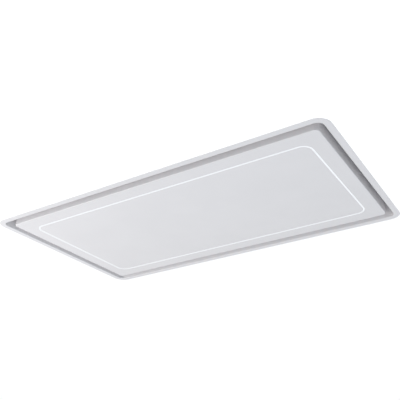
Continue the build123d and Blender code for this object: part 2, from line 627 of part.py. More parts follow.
# Double-inlet impeller: middle disc, forward-curved blades both ways, an end ring top and bottom.
with BuildPart() as impeller:
    with BuildSketch(Plane.XY.offset(SCROLL_MID)):
        with Locations((BLOWER_X, BLOWER_Y)):
            Circle(IMPELLER_R)
    extrude(amount=BLADE_THICK, both=True)
    with BuildSketch(Plane.XY.offset(SCROLL_MID)):
        with Locations((BLOWER_X, BLOWER_Y)):
            with PolarLocations(IMPELLER_R - BLADE_DEPTH / 2 - BLADE_THICK, BLADES):
                SlotArc(
                    ThreePointArc(
                        (-BLADE_DEPTH / 2, 0), (0, -BLADE_DEPTH * 0.18), (BLADE_DEPTH / 2, BLADE_DEPTH * 0.3)
                    ),
                    BLADE_THICK,
                )
    extrude(amount=IMPELLER_HEIGHT / 2, both=True)
    for up in (-1, 1):
        with BuildSketch(Plane.XY.offset(SCROLL_MID + up * IMPELLER_HEIGHT / 2)):
            with Locations((BLOWER_X, BLOWER_Y)):
                Circle(IMPELLER_R)
                Circle(IMPELLER_R - BLADE_DEPTH / 3, mode=Mode.SUBTRACT)
        extrude(amount=-up * 2 * BLADE_THICK)
    with BuildSketch(Plane.XY.offset(SCROLL_MID - HUB_HEIGHT)):
        with Locations((BLOWER_X, BLOWER_Y)):
            Circle(HUB_R)
    extrude(amount=HUB_HEIGHT)
    with BuildSketch(Plane.XY.offset(SCROLL_MID)):
        with Locations((BLOWER_X, BLOWER_Y)):
            Circle(SHAFT_R + PRESS_PLAY)
    extrude(amount=IMPELLER_HEIGHT, both=True, mode=Mode.SUBTRACT)
impeller.part.label = "impeller"
export_step(impeller.part, "parts/impeller.step")

# Motor between the upper blades, hung from a bracket across the upper inlet, and its shaft.
MOTOR_BOTTOM = SCROLL_MID + BLADE_THICK + MOTOR_GAP
MOTOR_TOP = SCROLL_TOP
with BuildPart() as motor_body:
    with BuildSketch(Plane.XY.offset(MOTOR_BOTTOM)):
        with Locations((BLOWER_X, BLOWER_Y)):
            Circle(MOTOR_R)
    extrude(amount=MOTOR_TOP - MOTOR_BOTTOM)
    fillet(motor_body.edges().group_by(Axis.Z)[0], MOTOR_R * 0.15)
    with BuildSketch(Plane.XY.offset(MOTOR_BOTTOM + (MOTOR_TOP - MOTOR_BOTTOM) * 0.45)):
        with Locations((BLOWER_X, BLOWER_Y)):
            Circle(MOTOR_R + BRACKET_SHEET)
    extrude(amount=BRACKET_SHEET)
    with BuildSketch(Plane.XY.offset(SCROLL_MID)):
        with Locations((BLOWER_X, BLOWER_Y)):
            Circle(SHAFT_R + RUNNING_PLAY)
    extrude(amount=SCROLL_HEIGHT, mode=Mode.SUBTRACT)
motor_body.part.label = "motor_body"
export_step(motor_body.part, "parts/motor_body.step")

with BuildPart() as motor_shaft:
    with BuildSketch(Plane.XY.offset(SCROLL_MID - HUB_HEIGHT)):
        with Locations((BLOWER_X, BLOWER_Y)):
            Circle(SHAFT_R)
    extrude(amount=HUB_HEIGHT + (MOTOR_TOP - SCROLL_MID) * 0.9)
motor_shaft.part.label = "motor_shaft"
export_step(motor_shaft.part, "parts/motor_shaft.step")

BRACKET_R = INLET_R + SCROLL_SHEET
BRACKET_SCREWS = [
    (BLOWER_X + MOTOR_R * 0.6 * cos(radians(a)), BLOWER_Y + MOTOR_R * 0.6 * sin(radians(a)))
    for a in (30, 150, 270)
]
with BuildPart() as motor_bracket:
    with BuildSketch(Plane.XY.offset(SCROLL_TOP)):
        with Locations((BLOWER_X, BLOWER_Y)):
            Circle(BRACKET_R + BRACKET_SHEET)
            Circle(BRACKET_R - BRACKET_SHEET, mode=Mode.SUBTRACT)
            Circle(MOTOR_R * 0.75)
            for arm_angle in (30, 150, 270):
                reach = BRACKET_R / 2
                with Locations((reach * cos(radians(arm_angle)), reach * sin(radians(arm_angle)))):
                    Rectangle(BRACKET_R, BRACKET_ARM, rotation=arm_angle)
            Circle(SHAFT_R * 2, mode=Mode.SUBTRACT)
        with Locations(*BRACKET_SCREWS):
            Circle(HOLE_R, mode=Mode.SUBTRACT)
    extrude(amount=BRACKET_SHEET)
motor_bracket.part.label = "motor_bracket"
export_step(motor_bracket.part, "parts/motor_bracket.step")

# Four waisted rubber mounts between the scroll and the top of the motor box.
MOUNT_HEIGHT = BOX_TOP - HOUSING_SHEET - SCROLL_TOP
with BuildPart() as vibration_mounts:
    with BuildSketch(Plane.XY.offset(SCROLL_TOP)):
        with Locations((BLOWER_X, BLOWER_Y)):
            with PolarLocations(BRACKET_R + MOUNT_R + MOUNT_MARGIN, 4, start_angle=45):
                Circle(MOUNT_R)
    extrude(amount=MOUNT_HEIGHT)
    with BuildSketch(Plane.XY.offset(SCROLL_TOP + MOUNT_HEIGHT * 0.35)):
        with Locations((BLOWER_X, BLOWER_Y)):
            with PolarLocations(BRACKET_R + MOUNT_R + MOUNT_MARGIN, 4, start_angle=45):
                Circle(MOUNT_R)
                Circle(MOUNT_R * 0.75, mode=Mode.SUBTRACT)
    extrude(amount=MOUNT_HEIGHT * 0.3, mode=Mode.SUBTRACT)
vibration_mounts.part.label = "vibration_mounts"
export_step(vibration_mounts.part, "parts/vibration_mounts.step")


# ---------------------------------------------------------------- control box on the ledge
CONTROL_FLOOR = LEDGE + CONTROL_SHEET
GLAND_Z = LEDGE + CONTROL_HEIGHT / 2
CONTROL_LEFT = -PAN_X / 2 + CONTROL_INSET
CONTROL_X = CONTROL_LEFT + CONTROL_LENGTH / 2
LID_SCREWS = [(CONTROL_X, side * (CONTROL_WIDTH / 2 - SCREW_HEAD_R * 2)) for side in (-1, 1)]
with BuildPart() as control_box:
    with BuildSketch(Plane.XY.offset(LEDGE)):
        with Locations((CONTROL_X, 0)):
            Rectangle(CONTROL_LENGTH, CONTROL_WIDTH)
    extrude(amount=CONTROL_HEIGHT)
    with BuildSketch(Plane.XY.offset(CONTROL_FLOOR)):
        with Locations((CONTROL_X, 0)):
            Rectangle(CONTROL_LENGTH - 2 * CONTROL_SHEET, CONTROL_WIDTH - 2 * CONTROL_SHEET)
    extrude(amount=CONTROL_HEIGHT, mode=Mode.SUBTRACT)
    # folded tabs under the lid that take its screws
    with BuildSketch(Plane.XY.offset(LEDGE + CONTROL_HEIGHT - CONTROL_SHEET)):
        for side in (-1, 1):
            tab = SCREW_HEAD_R * 4
            with Locations((CONTROL_X, side * (CONTROL_WIDTH - tab) / 2)):
                Rectangle(tab, tab)
        with Locations(*LID_SCREWS):
            Circle(HOLE_R, mode=Mode.SUBTRACT)
    extrude(amount=CONTROL_SHEET)
    with BuildSketch(Plane.YZ.offset(CONTROL_LEFT)):
        with Locations((0, GLAND_Z)):
            Circle(GLAND_NECK_R + SCREW_PLAY)
    extrude(amount=CONTROL_SHEET, mode=Mode.SUBTRACT)
control_box.part.label = "control_box"
export_step(control_box.part, "parts/control_box.step")

LID_INNER = (CONTROL_LENGTH + 2 * SEAT_GAP, CONTROL_WIDTH + 2 * SEAT_GAP)
LID_OUTER = (LID_INNER[0] + 2 * CONTROL_SHEET, LID_INNER[1] + 2 * CONTROL_SHEET)
with BuildPart() as control_box_lid:
    with BuildSketch(Plane.XY.offset(LEDGE + CONTROL_HEIGHT)):
        with Locations((CONTROL_X, 0)):
            Rectangle(*LID_OUTER)
        with Locations(*LID_SCREWS):
            Circle(HOLE_R, mode=Mode.SUBTRACT)
    extrude(amount=CONTROL_SHEET)
    with BuildSketch(Plane.XY.offset(LEDGE + CONTROL_HEIGHT)):
        with Locations((CONTROL_X, 0)):
            Rectangle(*LID_OUTER)
            Rectangle(*LID_INNER, mode=Mode.SUBTRACT)
    extrude(amount=-CONTROL_SHEET * 8)
control_box_lid.part.label = "control_box_lid"
export_step(control_box_lid.part, "parts/control_box_lid.step")

# Cable gland through the box wall: nose, flange, neck and the nut inside, bored for the supply.
GLAND_PLANE = Plane(origin=(CONTROL_LEFT, 0, GLAND_Z), x_dir=(0, 1, 0), z_dir=(-1, 0, 0))
with BuildPart() as cable_gland:
    with BuildSketch(GLAND_PLANE):
        RegularPolygon(GLAND_R, 6)
    extrude(amount=GLAND_NOSE * 0.4)
    with BuildSketch(GLAND_PLANE):
        Circle(GLAND_R * 0.8)
    extrude(amount=GLAND_NOSE)
    fillet(cable_gland.faces().sort_by(Axis.X)[0].edges(), GLAND_R * 0.2)
    with BuildSketch(GLAND_PLANE):
        Circle(GLAND_NECK_R)
    extrude(amount=-(CONTROL_SHEET + GLAND_NUT))
    with BuildSketch(GLAND_PLANE.offset(-CONTROL_SHEET)):
        RegularPolygon(GLAND_R, 6)
    extrude(amount=-GLAND_NUT)
    with BuildSketch(GLAND_PLANE.offset(GLAND_NOSE)):
        Circle(CABLE_R)
    extrude(amount=-(GLAND_NOSE + CONTROL_SHEET + GLAND_NUT), mode=Mode.SUBTRACT)
cable_gland.part.label = "cable_gland"
export_step(cable_gland.part, "parts/cable_gland.step")

# Terminal block beside the gland, with a row of wire holes and screw wells.
TERMINAL_X = CONTROL_LEFT + CONTROL_SHEET + GLAND_NUT + TERMINAL_LENGTH
with BuildPart() as terminal_block:
    with BuildSketch(Plane.XY.offset(CONTROL_FLOOR)):
        with Locations((TERMINAL_X, 0)):
            Rectangle(TERMINAL_LENGTH, TERMINAL_WIDTH)
    extrude(amount=TERMINAL_HEIGHT)
    with BuildSketch(Plane.XY.offset(CONTROL_FLOOR + TERMINAL_HEIGHT)):
        with Locations((TERMINAL_X, 0)):
            with GridLocations(TERMINAL_LENGTH / 2, TERMINAL_WIDTH / 6, 2, 5):
                Circle(TERMINAL_LENGTH / 9)
    extrude(amount=-TERMINAL_HEIGHT * 0.4, mode=Mode.SUBTRACT)
terminal_block.part.label = "terminal_block"
export_step(terminal_block.part, "parts/terminal_block.step")

with BuildPart() as led_driver:
    driver_x = CONTROL_X + CONTROL_LENGTH / 2 - CONTROL_SHEET - SEAT_GAP - DRIVER_LENGTH / 2 - SCREW_HEAD_R
    with BuildSketch(Plane.XY.offset(CONTROL_FLOOR)):
        with Locations((driver_x, 0)):
            RectangleRounded(DRIVER_LENGTH, DRIVER_WIDTH, DRIVER_LENGTH / 10)
    extrude(amount=DRIVER_HEIGHT)
    chamfer(led_driver.faces().sort_by(Axis.Z)[-1].edges(), DRIVER_HEIGHT / 14)
led_driver.part.label = "led_driver"
export_step(led_driver.part, "parts/led_driver.step")


# ---------------------------------------------------------------- hinge arms, posts and contact
# Each arm is a flat plate down to the pin, with a foot turned sideways under the deck.
for side_name, hinge_x in (("left", -HINGE_X), ("right", HINGE_X)):
    with BuildPart() as hinge_arm:
        with BuildSketch(Plane.YZ.offset(hinge_x)):
            with Locations((HINGE_Y, HINGE_Z)):
                Circle(ARM_WIDTH / 2)
            with Locations((HINGE_Y, (HINGE_Z + RECESS_TOP) / 2)):
                Rectangle(ARM_WIDTH, RECESS_TOP - HINGE_Z)
            with Locations((HINGE_Y, HINGE_Z)):
                Circle(PIN_R + RUNNING_PLAY, mode=Mode.SUBTRACT)
        extrude(amount=ARM_THICK / 2, both=True)
        with BuildSketch(Plane.XY.offset(RECESS_TOP - ARM_THICK)):
            with Locations((hinge_x + (ARM_FOOT - ARM_THICK / 2) / 2, HINGE_Y)):
                Rectangle(ARM_FOOT + ARM_THICK / 2, ARM_WIDTH)
            with Locations(*[(hinge_x + dx, HINGE_Y) for dx in (ARM_FOOT * 0.35, ARM_FOOT * 0.8)]):
                Circle(HOLE_R, mode=Mode.SUBTRACT)
        extrude(amount=ARM_THICK)
    hinge_arm.part.label = f"hinge_arm_{side_name}"
    export_step(hinge_arm.part, f"parts/hinge_arm_{side_name}.step")

# Each catch post is a folded Z: a foot under the deck, a web, and a shelf above the magnet.
for side_name, catch_x in (("left", -CATCH_X), ("right", CATCH_X)):
    web_y = CATCH_Y + MAGNET_WIDTH / 2 + POST_SHEET / 2
    with BuildPart() as catch_post:
        with BuildSketch(Plane.YZ.offset(catch_x)):
            with Locations((web_y, (MAGNET_TOP + RECESS_TOP) / 2)):
                Rectangle(POST_SHEET, RECESS_TOP - MAGNET_TOP)
            with Locations((CATCH_Y + POST_SHEET / 2, MAGNET_TOP + POST_SHEET / 2)):
                Rectangle(MAGNET_WIDTH + POST_SHEET, POST_SHEET)
            with Locations((web_y - POST_SHEET / 2 + POST_FOOT / 2, RECESS_TOP - POST_SHEET / 2)):
                Rectangle(POST_FOOT, POST_SHEET)
        extrude(amount=MAGNET_LENGTH / 2, both=True)
        with BuildSketch(Plane.XY.offset(RECESS_TOP)):
            with Locations((catch_x, CATCH_Y + MAGNET_WIDTH / 2 + POST_FOOT * 0.65)):
                Circle(HOLE_R)
        extrude(amount=-POST_SHEET, mode=Mode.SUBTRACT)
    catch_post.part.label = f"catch_post_{side_name}"
    export_step(catch_post.part, f"parts/catch_post_{side_name}.step")

with BuildPart() as catch_magnets:
    with BuildSketch(Plane.XY.offset(MAGNET_BOTTOM)):
        with Locations((-CATCH_X, CATCH_Y), (CATCH_X, CATCH_Y)):
            Rectangle(MAGNET_LENGTH, MAGNET_WIDTH)
    extrude(amount=MAGNET_HEIGHT)
catch_magnets.part.label = "catch_magnets"
export_step(catch_magnets.part, "parts/catch_magnets.step")

# Contact block with three sprung pins, which press on the pad of the closed panel.
PAD_TOP = COVER_TOP + PAD_THICK
PIN_SHOWS = HINGE_Z - PAD_TOP
CONTACT_PINS = [(x, CONTACT_Y) for x in (-CONTACT_PITCH, 0, CONTACT_PITCH)]
with BuildPart() as contact_block:
    with BuildSketch(Plane.XY.offset(PAD_TOP + PIN_SHOWS)):
        with Locations((0, CONTACT_Y)):
            RectangleRounded(CONTACT_LENGTH, CONTACT_WIDTH, CONTACT_WIDTH / 6)
    extrude(amount=RECESS_TOP - PAD_TOP - PIN_SHOWS)
    with BuildSketch(Plane.XY.offset(RECESS_TOP - ARM_THICK)):
        with Locations((0, CONTACT_Y)):
            RectangleRounded(CONTACT_LENGTH * 1.6, CONTACT_WIDTH, CONTACT_WIDTH / 6)
    extrude(amount=ARM_THICK)
contact_block.part.label = "contact_block"
export_step(contact_block.part, "parts/contact_block.step")

with BuildPart() as contact_pins:
    with BuildSketch(Plane.XY.offset(PAD_TOP + SEAT_GAP)):
        with Locations(*CONTACT_PINS):
            Circle(CONTACT_PIN_R)
    extrude(amount=PIN_SHOWS - SEAT_GAP)
contact_pins.part.label = "contact_pins"
export_step(contact_pins.part, "parts/contact_pins.step")

# Master switch: a bezel through the deck, and a rocker on two stub axles.
ROCKER_LENGTH = SWITCH_LENGTH - 2 * SWITCH_FRAME - 2 * LATCH_PLAY
ROCKER_SPAN = SWITCH_WIDTH - 2 * SWITCH_FRAME - 2 * LATCH_PLAY
SWITCH_BOTTOM = RECESS_TOP - SWITCH_FRAME
ROCKER_Z = RECESS_TOP + SWITCH_FRAME
with BuildPart() as switch_bezel:
    with BuildSketch(Plane.XY.offset(SWITCH_BOTTOM)):
        with Locations((0, SWITCH_Y)):
            RectangleRounded(SWITCH_LENGTH + SWITCH_FRAME, SWITCH_WIDTH + SWITCH_FRAME, SWITCH_FRAME / 2)
    extrude(amount=SWITCH_FRAME)
    with BuildSketch(Plane.XY.offset(RECESS_TOP)):
        with Locations((0, SWITCH_Y)):
            Rectangle(SWITCH_LENGTH - SEAT_GAP, SWITCH_WIDTH - SEAT_GAP)
    extrude(amount=SWITCH_LENGTH)
    with BuildSketch(Plane.XY.offset(SWITCH_BOTTOM)):
        with Locations((0, SWITCH_Y)):
            Rectangle(SWITCH_LENGTH - 2 * SWITCH_FRAME, SWITCH_WIDTH - 2 * SWITCH_FRAME)
    extrude(amount=SWITCH_LENGTH * 0.7, mode=Mode.SUBTRACT)
    with BuildSketch(Plane.YZ):
        with Locations((SWITCH_Y, ROCKER_Z)):
            Circle(ROCKER_AXLE_R + RUNNING_PLAY)
    extrude(amount=SWITCH_LENGTH / 2 - SWITCH_FRAME / 2, both=True, mode=Mode.SUBTRACT)
switch_bezel.part.label = "switch_bezel"
export_step(switch_bezel.part, "parts/switch_bezel.step")

ROCKER_PLANE = Plane(
    origin=(0, SWITCH_Y, ROCKER_Z),
    x_dir=(0, cos(radians(ROCKER_TILT)), -sin(radians(ROCKER_TILT))),
    z_dir=(1, 0, 0),
)
with BuildPart() as master_rocker:
    with BuildSketch(ROCKER_PLANE):
        tilt = radians(ROCKER_TILT)
        face = ROCKER_Z - SWITCH_BOTTOM
        reach = (ROCKER_SPAN / 2 - face * sin(tilt)) / (cos(tilt) + sin(tilt) ** 2)
        with BuildLine():
            Polyline(
                (-reach, SWITCH_FRAME / 2),
                (-reach, -face - reach * sin(tilt)),
                (0, -face),
                (reach, -face - reach * sin(tilt)),
                (reach, SWITCH_FRAME / 2),
                close=True,
            )
        make_face()
    extrude(amount=ROCKER_LENGTH / 2, both=True)
    with BuildSketch(ROCKER_PLANE):
        Circle(ROCKER_AXLE_R)
    extrude(amount=SWITCH_LENGTH / 2 - SWITCH_FRAME / 2 - LATCH_PLAY, both=True)
master_rocker.part.label = "master_rocker"
export_step(master_rocker.part, "parts/master_rocker.step")


# ---------------------------------------------------------------- grease filters
FRONT_EDGE = -FILTER_WIDTH / 2
TONGUE_TIP = FRONT_EDGE - LATCH_TRAVEL - LATCH_PLAY
TONGUE_Z = FILTER_BOTTOM + LATCH_PLAY
TONGUE_BACK = TONGUE_TIP + TONGUE_LENGTH
STOP_Y = TONGUE_BACK + SPRING_LENGTH
SLOT_WIDTH = TONGUE_WIDTH + 2 * LATCH_PLAY
SLOT_HEIGHT = TONGUE_THICK + 2 * LATCH_PLAY
SPRING_R = TONGUE_THICK / 2 + SPRING_WIRE / 2
MESH_TOP = RECESS_TOP - RAIL_SHEET
MESH_BOTTOM = MESH_TOP - MESH_HEIGHT
INNER_LENGTH = FILTER_LENGTH - 2 * FILTER_RIM
INNER_WIDTH = FILTER_WIDTH - 2 * FILTER_RIM
for side_name, centre in FILTER_CENTRES.items():
    # Rim of folded sheet, cross bar, and the slot and bridge that guide the latch.
    with BuildPart() as filter_frame:
        with BuildSketch(Plane.XY.offset(FILTER_BOTTOM)):
            with Locations((centre, 0)):
                RectangleRounded(FILTER_LENGTH, FILTER_WIDTH, FILTER_CORNER_R)
                Rectangle(INNER_LENGTH, INNER_WIDTH, mode=Mode.SUBTRACT)
        extrude(amount=FILTER_HEIGHT)
        with BuildSketch(Plane.XY.offset(FILTER_BOTTOM)):
            with Locations((centre, STOP_Y + RAIL_SHEET / 2)):
                Rectangle(SLOT_WIDTH + 4 * RAIL_SHEET, RAIL_SHEET)
            for side in (-1, 1):
                cheek_x = centre + side * (SLOT_WIDTH / 2 + 1.5 * RAIL_SHEET)
                with Locations((cheek_x, (FRONT_EDGE + FILTER_RIM + STOP_Y + RAIL_SHEET) / 2)):
                    Rectangle(RAIL_SHEET, STOP_Y + RAIL_SHEET - FRONT_EDGE - FILTER_RIM)
        extrude(amount=MESH_BOTTOM - FILTER_BOTTOM)
        with BuildSketch(Plane.XY.offset(FILTER_BOTTOM)):
            with Locations((centre, FRONT_EDGE + FILTER_RIM / 2)):
                Rectangle(SLOT_WIDTH, FILTER_RIM)
        extrude(amount=SLOT_HEIGHT, mode=Mode.SUBTRACT)
        with BuildSketch(Plane.XY.offset(FILTER_BOTTOM - RAIL_SHEET)):
            with Locations((centre, FRONT_EDGE + FILTER_RIM * 0.7)):
                Rectangle(SLOT_WIDTH + 8 * RAIL_SHEET, FILTER_RIM * 0.6)
        extrude(amount=RAIL_SHEET)
    filter_frame.part.label = f"filter_frame_{side_name}"
    export_step(filter_frame.part, f"parts/filter_frame_{side_name}.step")

    # Mesh pack: a folded sheet whose pleats run across the hood.
    pleats = int((INNER_LENGTH - 2 * SEAT_GAP) / MESH_PITCH)
    start_x = centre - pleats * MESH_PITCH / 2
    with BuildPart() as filter_mesh:
        with BuildSketch(Plane.XZ):
            crest = MESH_TOP - MESH_SHEET
            with BuildLine():
                levels = (MESH_BOTTOM, crest)
                path = [(start_x + i * MESH_PITCH / 2, levels[i % 2]) for i in range(2 * pleats + 1)]
                top_path = [(x, z + MESH_SHEET) for x, z in reversed(path)]
                Polyline(*path, *top_path, close=True)
            make_face()
        extrude(amount=INNER_WIDTH / 2, both=True)
    filter_mesh.part.label = f"filter_mesh_{side_name}"
    export_step(filter_mesh.part, f"parts/filter_mesh_{side_name}.step")

    # Sliding latch: tongue over the keeper, and a ribbed grip below for a finger.
    with BuildPart() as filter_latch:
        with BuildSketch(Plane.XY.offset(TONGUE_Z)):
            with Locations((centre, (TONGUE_TIP + TONGUE_BACK) / 2)):
                Rectangle(TONGUE_WIDTH, TONGUE_LENGTH)
        extrude(amount=TONGUE_THICK)
        with BuildSketch(Plane.XY.offset(TONGUE_Z)):
            with Locations((centre, TONGUE_BACK)):
                with GridLocations(0, RAIL_SHEET * 2.5, 1, 3):
                    with Locations((0, -RAIL_SHEET * 3.5)):
                        Rectangle(TONGUE_WIDTH * 0.9, RAIL_SHEET)
        extrude(amount=-LATCH_GRIP)
    filter_latch.part.label = f"filter_latch_{side_name}"
    export_step(filter_latch.part, f"parts/filter_latch_{side_name}.step")

    # Compression spring behind the latch, drawn as touching turns.
    with BuildPart() as latch_spring:
        with BuildSketch(Plane.XY.offset(TONGUE_Z + TONGUE_THICK / 2)):
            turns = int((SPRING_LENGTH - 2 * SEAT_GAP) / SPRING_WIRE / 2)
            pitch = (SPRING_LENGTH - 2 * SEAT_GAP - SPRING_WIRE) / (turns - 1)
            with Locations((centre + SPRING_R, (TONGUE_BACK + STOP_Y) / 2)):
                Rectangle(SPRING_WIRE * 0.5, (turns - 1) * pitch)
                with GridLocations(0, pitch, 1, turns):
                    Circle(SPRING_WIRE / 2)
        revolve(axis=Axis((centre, 0, TONGUE_Z + TONGUE_THICK / 2), (0, 1, 0)))
    latch_spring.part.label = f"latch_spring_{side_name}"
    export_step(latch_spring.part, f"parts/latch_spring_{side_name}.step")


# ---------------------------------------------------------------- panel
# Outer ring: flush face outside the light line, folded side walls, and a rim turned inwards.
NOTCH_WIDTH = ARM_THICK + 2 * ARM_THICK
NOTCH_BOTTOM = HINGE_Z - ARM_WIDTH / 2 - 1.5 * CHEEK_THICK
with BuildPart() as panel_ring:
    with BuildSketch(Plane.XY.offset(UNDERSIDE)):
        RectangleRounded(PANEL_X, PANEL_Y, PANEL_CORNER_R)
    extrude(amount=PANEL_DEPTH)
    with BuildSketch(Plane.XY.offset(FACE_BACK)):
        RectangleRounded(PANEL_X - 2 * PANEL_SHEET, PANEL_Y - 2 * PANEL_SHEET, PANEL_CORNER_R - PANEL_SHEET)
    extrude(amount=PANEL_DEPTH - 2 * PANEL_SHEET, mode=Mode.SUBTRACT)
    with BuildSketch(Plane.XY.offset(UNDERSIDE)):
        RectangleRounded(LINE_X + LIGHT_LINE, LINE_Y + LIGHT_LINE, LIGHT_CORNER_R + LIGHT_LINE / 2)
    extrude(amount=PANEL_SHEET, mode=Mode.SUBTRACT)
    with BuildSketch(Plane.XY.offset(PANEL_TOP - PANEL_SHEET)):
        Rectangle(PANEL_X - 2 * PANEL_RIM, PANEL_Y - 2 * PANEL_RIM)
    extrude(amount=PANEL_SHEET, mode=Mode.SUBTRACT)
    with BuildSketch(Plane.XZ.offset(-PANEL_Y / 2)):
        with Locations(*[(side * HINGE_X, (NOTCH_BOTTOM + PANEL_TOP) / 2) for side in (-1, 1)]):
            Rectangle(NOTCH_WIDTH, PANEL_TOP - NOTCH_BOTTOM)
    extrude(amount=PANEL_RIM, mode=Mode.SUBTRACT)
    underside = panel_ring.faces().sort_by(Axis.Z)[0]
    fillet(underside.outer_wire().edges(), PANEL_EDGE_R)
panel_ring.part.label = "panel_ring"
export_step(panel_ring.part, "parts/panel_ring.step")

with BuildPart() as panel_centre:
    with BuildSketch(Plane.XY.offset(UNDERSIDE)):
        RectangleRounded(LINE_X - LIGHT_LINE, LINE_Y - LIGHT_LINE, LIGHT_CORNER_R - LIGHT_LINE / 2)
    extrude(amount=PANEL_SHEET)
panel_centre.part.label = "panel_centre"
export_step(panel_centre.part, "parts/panel_centre.step")


def line_ring(outer, inner):
    """Draw a closed band along the light line, from inner to outer, measured from its centreline."""
    RectangleRounded(LINE_X + 2 * outer, LINE_Y + 2 * outer, LIGHT_CORNER_R + outer)
    RectangleRounded(LINE_X + 2 * inner, LINE_Y + 2 * inner, LIGHT_CORNER_R + inner, mode=Mode.SUBTRACT)


# Light channel: a hat section that bridges the slot and ties the centre plate to the ring.
HALF_CHANNEL = CHANNEL_WIDTH / 2
with BuildPart() as light_channel:
    with BuildSketch(Plane.XY.offset(FACE_BACK)):
        line_ring(HALF_CHANNEL, -HALF_CHANNEL)
    extrude(amount=CHANNEL_HEIGHT)
    with BuildSketch(Plane.XY.offset(FACE_BACK)):
        line_ring(HALF_CHANNEL + CHANNEL_FOOT, -HALF_CHANNEL - CHANNEL_FOOT)
    extrude(amount=PANEL_SHEET)
    with BuildSketch(Plane.XY.offset(FACE_BACK)):
        line_ring(HALF_CHANNEL - PANEL_SHEET, PANEL_SHEET - HALF_CHANNEL)
    extrude(amount=CHANNEL_HEIGHT - PANEL_SHEET, mode=Mode.SUBTRACT)
light_channel.part.label = "light_channel"
export_step(light_channel.part, "parts/light_channel.step")

# Diffuser: a T section whose nose fills the slot flush with the panel.
with BuildPart() as light_diffuser:
    with BuildSketch(Plane.XY.offset(UNDERSIDE)):
        line_ring(LIGHT_LINE / 2 - LINE_PLAY, LINE_PLAY - LIGHT_LINE / 2)
    extrude(amount=PANEL_SHEET)
    with BuildSketch(Plane.XY.offset(FACE_BACK)):
        line_ring(HALF_CHANNEL - PANEL_SHEET - SEAT_GAP, PANEL_SHEET + SEAT_GAP - HALF_CHANNEL)
    extrude(amount=DIFFUSER_BASE)
light_diffuser.part.label = "light_diffuser"
export_step(light_diffuser.part, "parts/light_diffuser.step")

STRIP_Z = COVER_BOTTOM - PANEL_SHEET - STRIP_THICK
with BuildPart() as led_strip:
    with BuildSketch(Plane.XY.offset(STRIP_Z)):
        line_ring(STRIP_WIDTH / 2, -STRIP_WIDTH / 2)
    extrude(amount=STRIP_THICK)
led_strip.part.label = "led_strip"
export_step(led_strip.part, "parts/led_strip.step")

# Light chips, evenly spaced along the four straight runs and facing down.
CHIPS_X = int((LINE_X - 2 * LIGHT_CORNER_R) / CHIP_PITCH)
CHIPS_Y = int((LINE_Y - 2 * LIGHT_CORNER_R) / CHIP_PITCH)
with BuildPart() as led_chips:
    with BuildSketch(Plane.XY.offset(STRIP_Z)):
        with GridLocations(CHIP_PITCH, LINE_Y, CHIPS_X, 2):
            Rectangle(CHIP, CHIP)
        with GridLocations(LINE_X, CHIP_PITCH, 2, CHIPS_Y):
            Rectangle(CHIP, CHIP)
    extrude(amount=-CHIP / 3)
led_chips.part.label = "led_chips"
export_step(led_chips.part, "parts/led_chips.step")

# Back cover on the channel, with pressed ribs that stiffen it, and its screws into the channel.
COVER_SCREWS = [(x, side * LINE_Y / 2) for side in (-1, 1) for x in (-LINE_X / 4, 0.0, LINE_X / 4)] + [
    (side * LINE_X / 2, y) for side in (-1, 1) for y in (-LINE_Y / 4, LINE_Y / 4)
]
LEAF_CENTRE_Y = HINGE_Y - ARM_WIDTH / 4
with BuildPart() as panel_back_cover:
    with BuildSketch(Plane.XY.offset(COVER_BOTTOM)):
        RectangleRounded(
            PANEL_X - 2 * (PANEL_SHEET + SEAT_GAP),
            PANEL_Y - 2 * (PANEL_SHEET + SEAT_GAP),
            PANEL_CORNER_R - PANEL_SHEET - SEAT_GAP,
        )
    extrude(amount=PANEL_SHEET)
    cover_ribs = [(PANEL_X / 7 * step, 0) for step in (-2.5, -1.5, -0.5, 0.5, 1.5, 2.5)]
    ribs, rib_hollows = pressed_ribs(Plane.XY.offset(COVER_TOP), cover_ribs, PANEL_Y * 0.52, 90, PANEL_SHEET)
    add(ribs)
    add(rib_hollows, mode=Mode.SUBTRACT)
    with BuildSketch(Plane.XY.offset(COVER_BOTTOM)):
        with Locations(*COVER_SCREWS):
            Circle(HOLE_R)
    extrude(amount=PANEL_SHEET, mode=Mode.SUBTRACT)
panel_back_cover.part.label = "panel_back_cover"
export_step(panel_back_cover.part, "parts/panel_back_cover.step")

# Hinge leaves: a base on the back cover and two cheeks that straddle the arm.
CHEEK_X = ARM_THICK / 2 + CHEEK_PLAY + CHEEK_THICK / 2
for side_name, hinge_x in (("left", -HINGE_X), ("right", HINGE_X)):
    with BuildPart() as hinge_leaf:
        with BuildSketch(Plane.XY.offset(COVER_TOP)):
            with Locations((hinge_x, LEAF_CENTRE_Y)):
                Rectangle(LEAF_BASE, ARM_WIDTH * 1.5)
        extrude(amount=CHEEK_THICK)
        for side in (-1, 1):
            with BuildSketch(Plane.YZ.offset(hinge_x + side * CHEEK_X)):
                with Locations((HINGE_Y, HINGE_Z)):
                    Circle(ARM_WIDTH / 2 - PANEL_SHEET)
                with Locations((HINGE_Y, (COVER_TOP + HINGE_Z) / 2)):
                    Rectangle(ARM_WIDTH - 2 * PANEL_SHEET, HINGE_Z - COVER_TOP)
            extrude(amount=CHEEK_THICK / 2, both=True)
        with BuildSketch(Plane.YZ.offset(hinge_x)):
            with Locations((HINGE_Y, HINGE_Z)):
                Circle(PIN_R + PRESS_PLAY)
        extrude(amount=LEAF_BASE / 2, both=True, mode=Mode.SUBTRACT)
    hinge_leaf.part.label = f"hinge_leaf_{side_name}"
    export_step(hinge_leaf.part, f"parts/hinge_leaf_{side_name}.step")

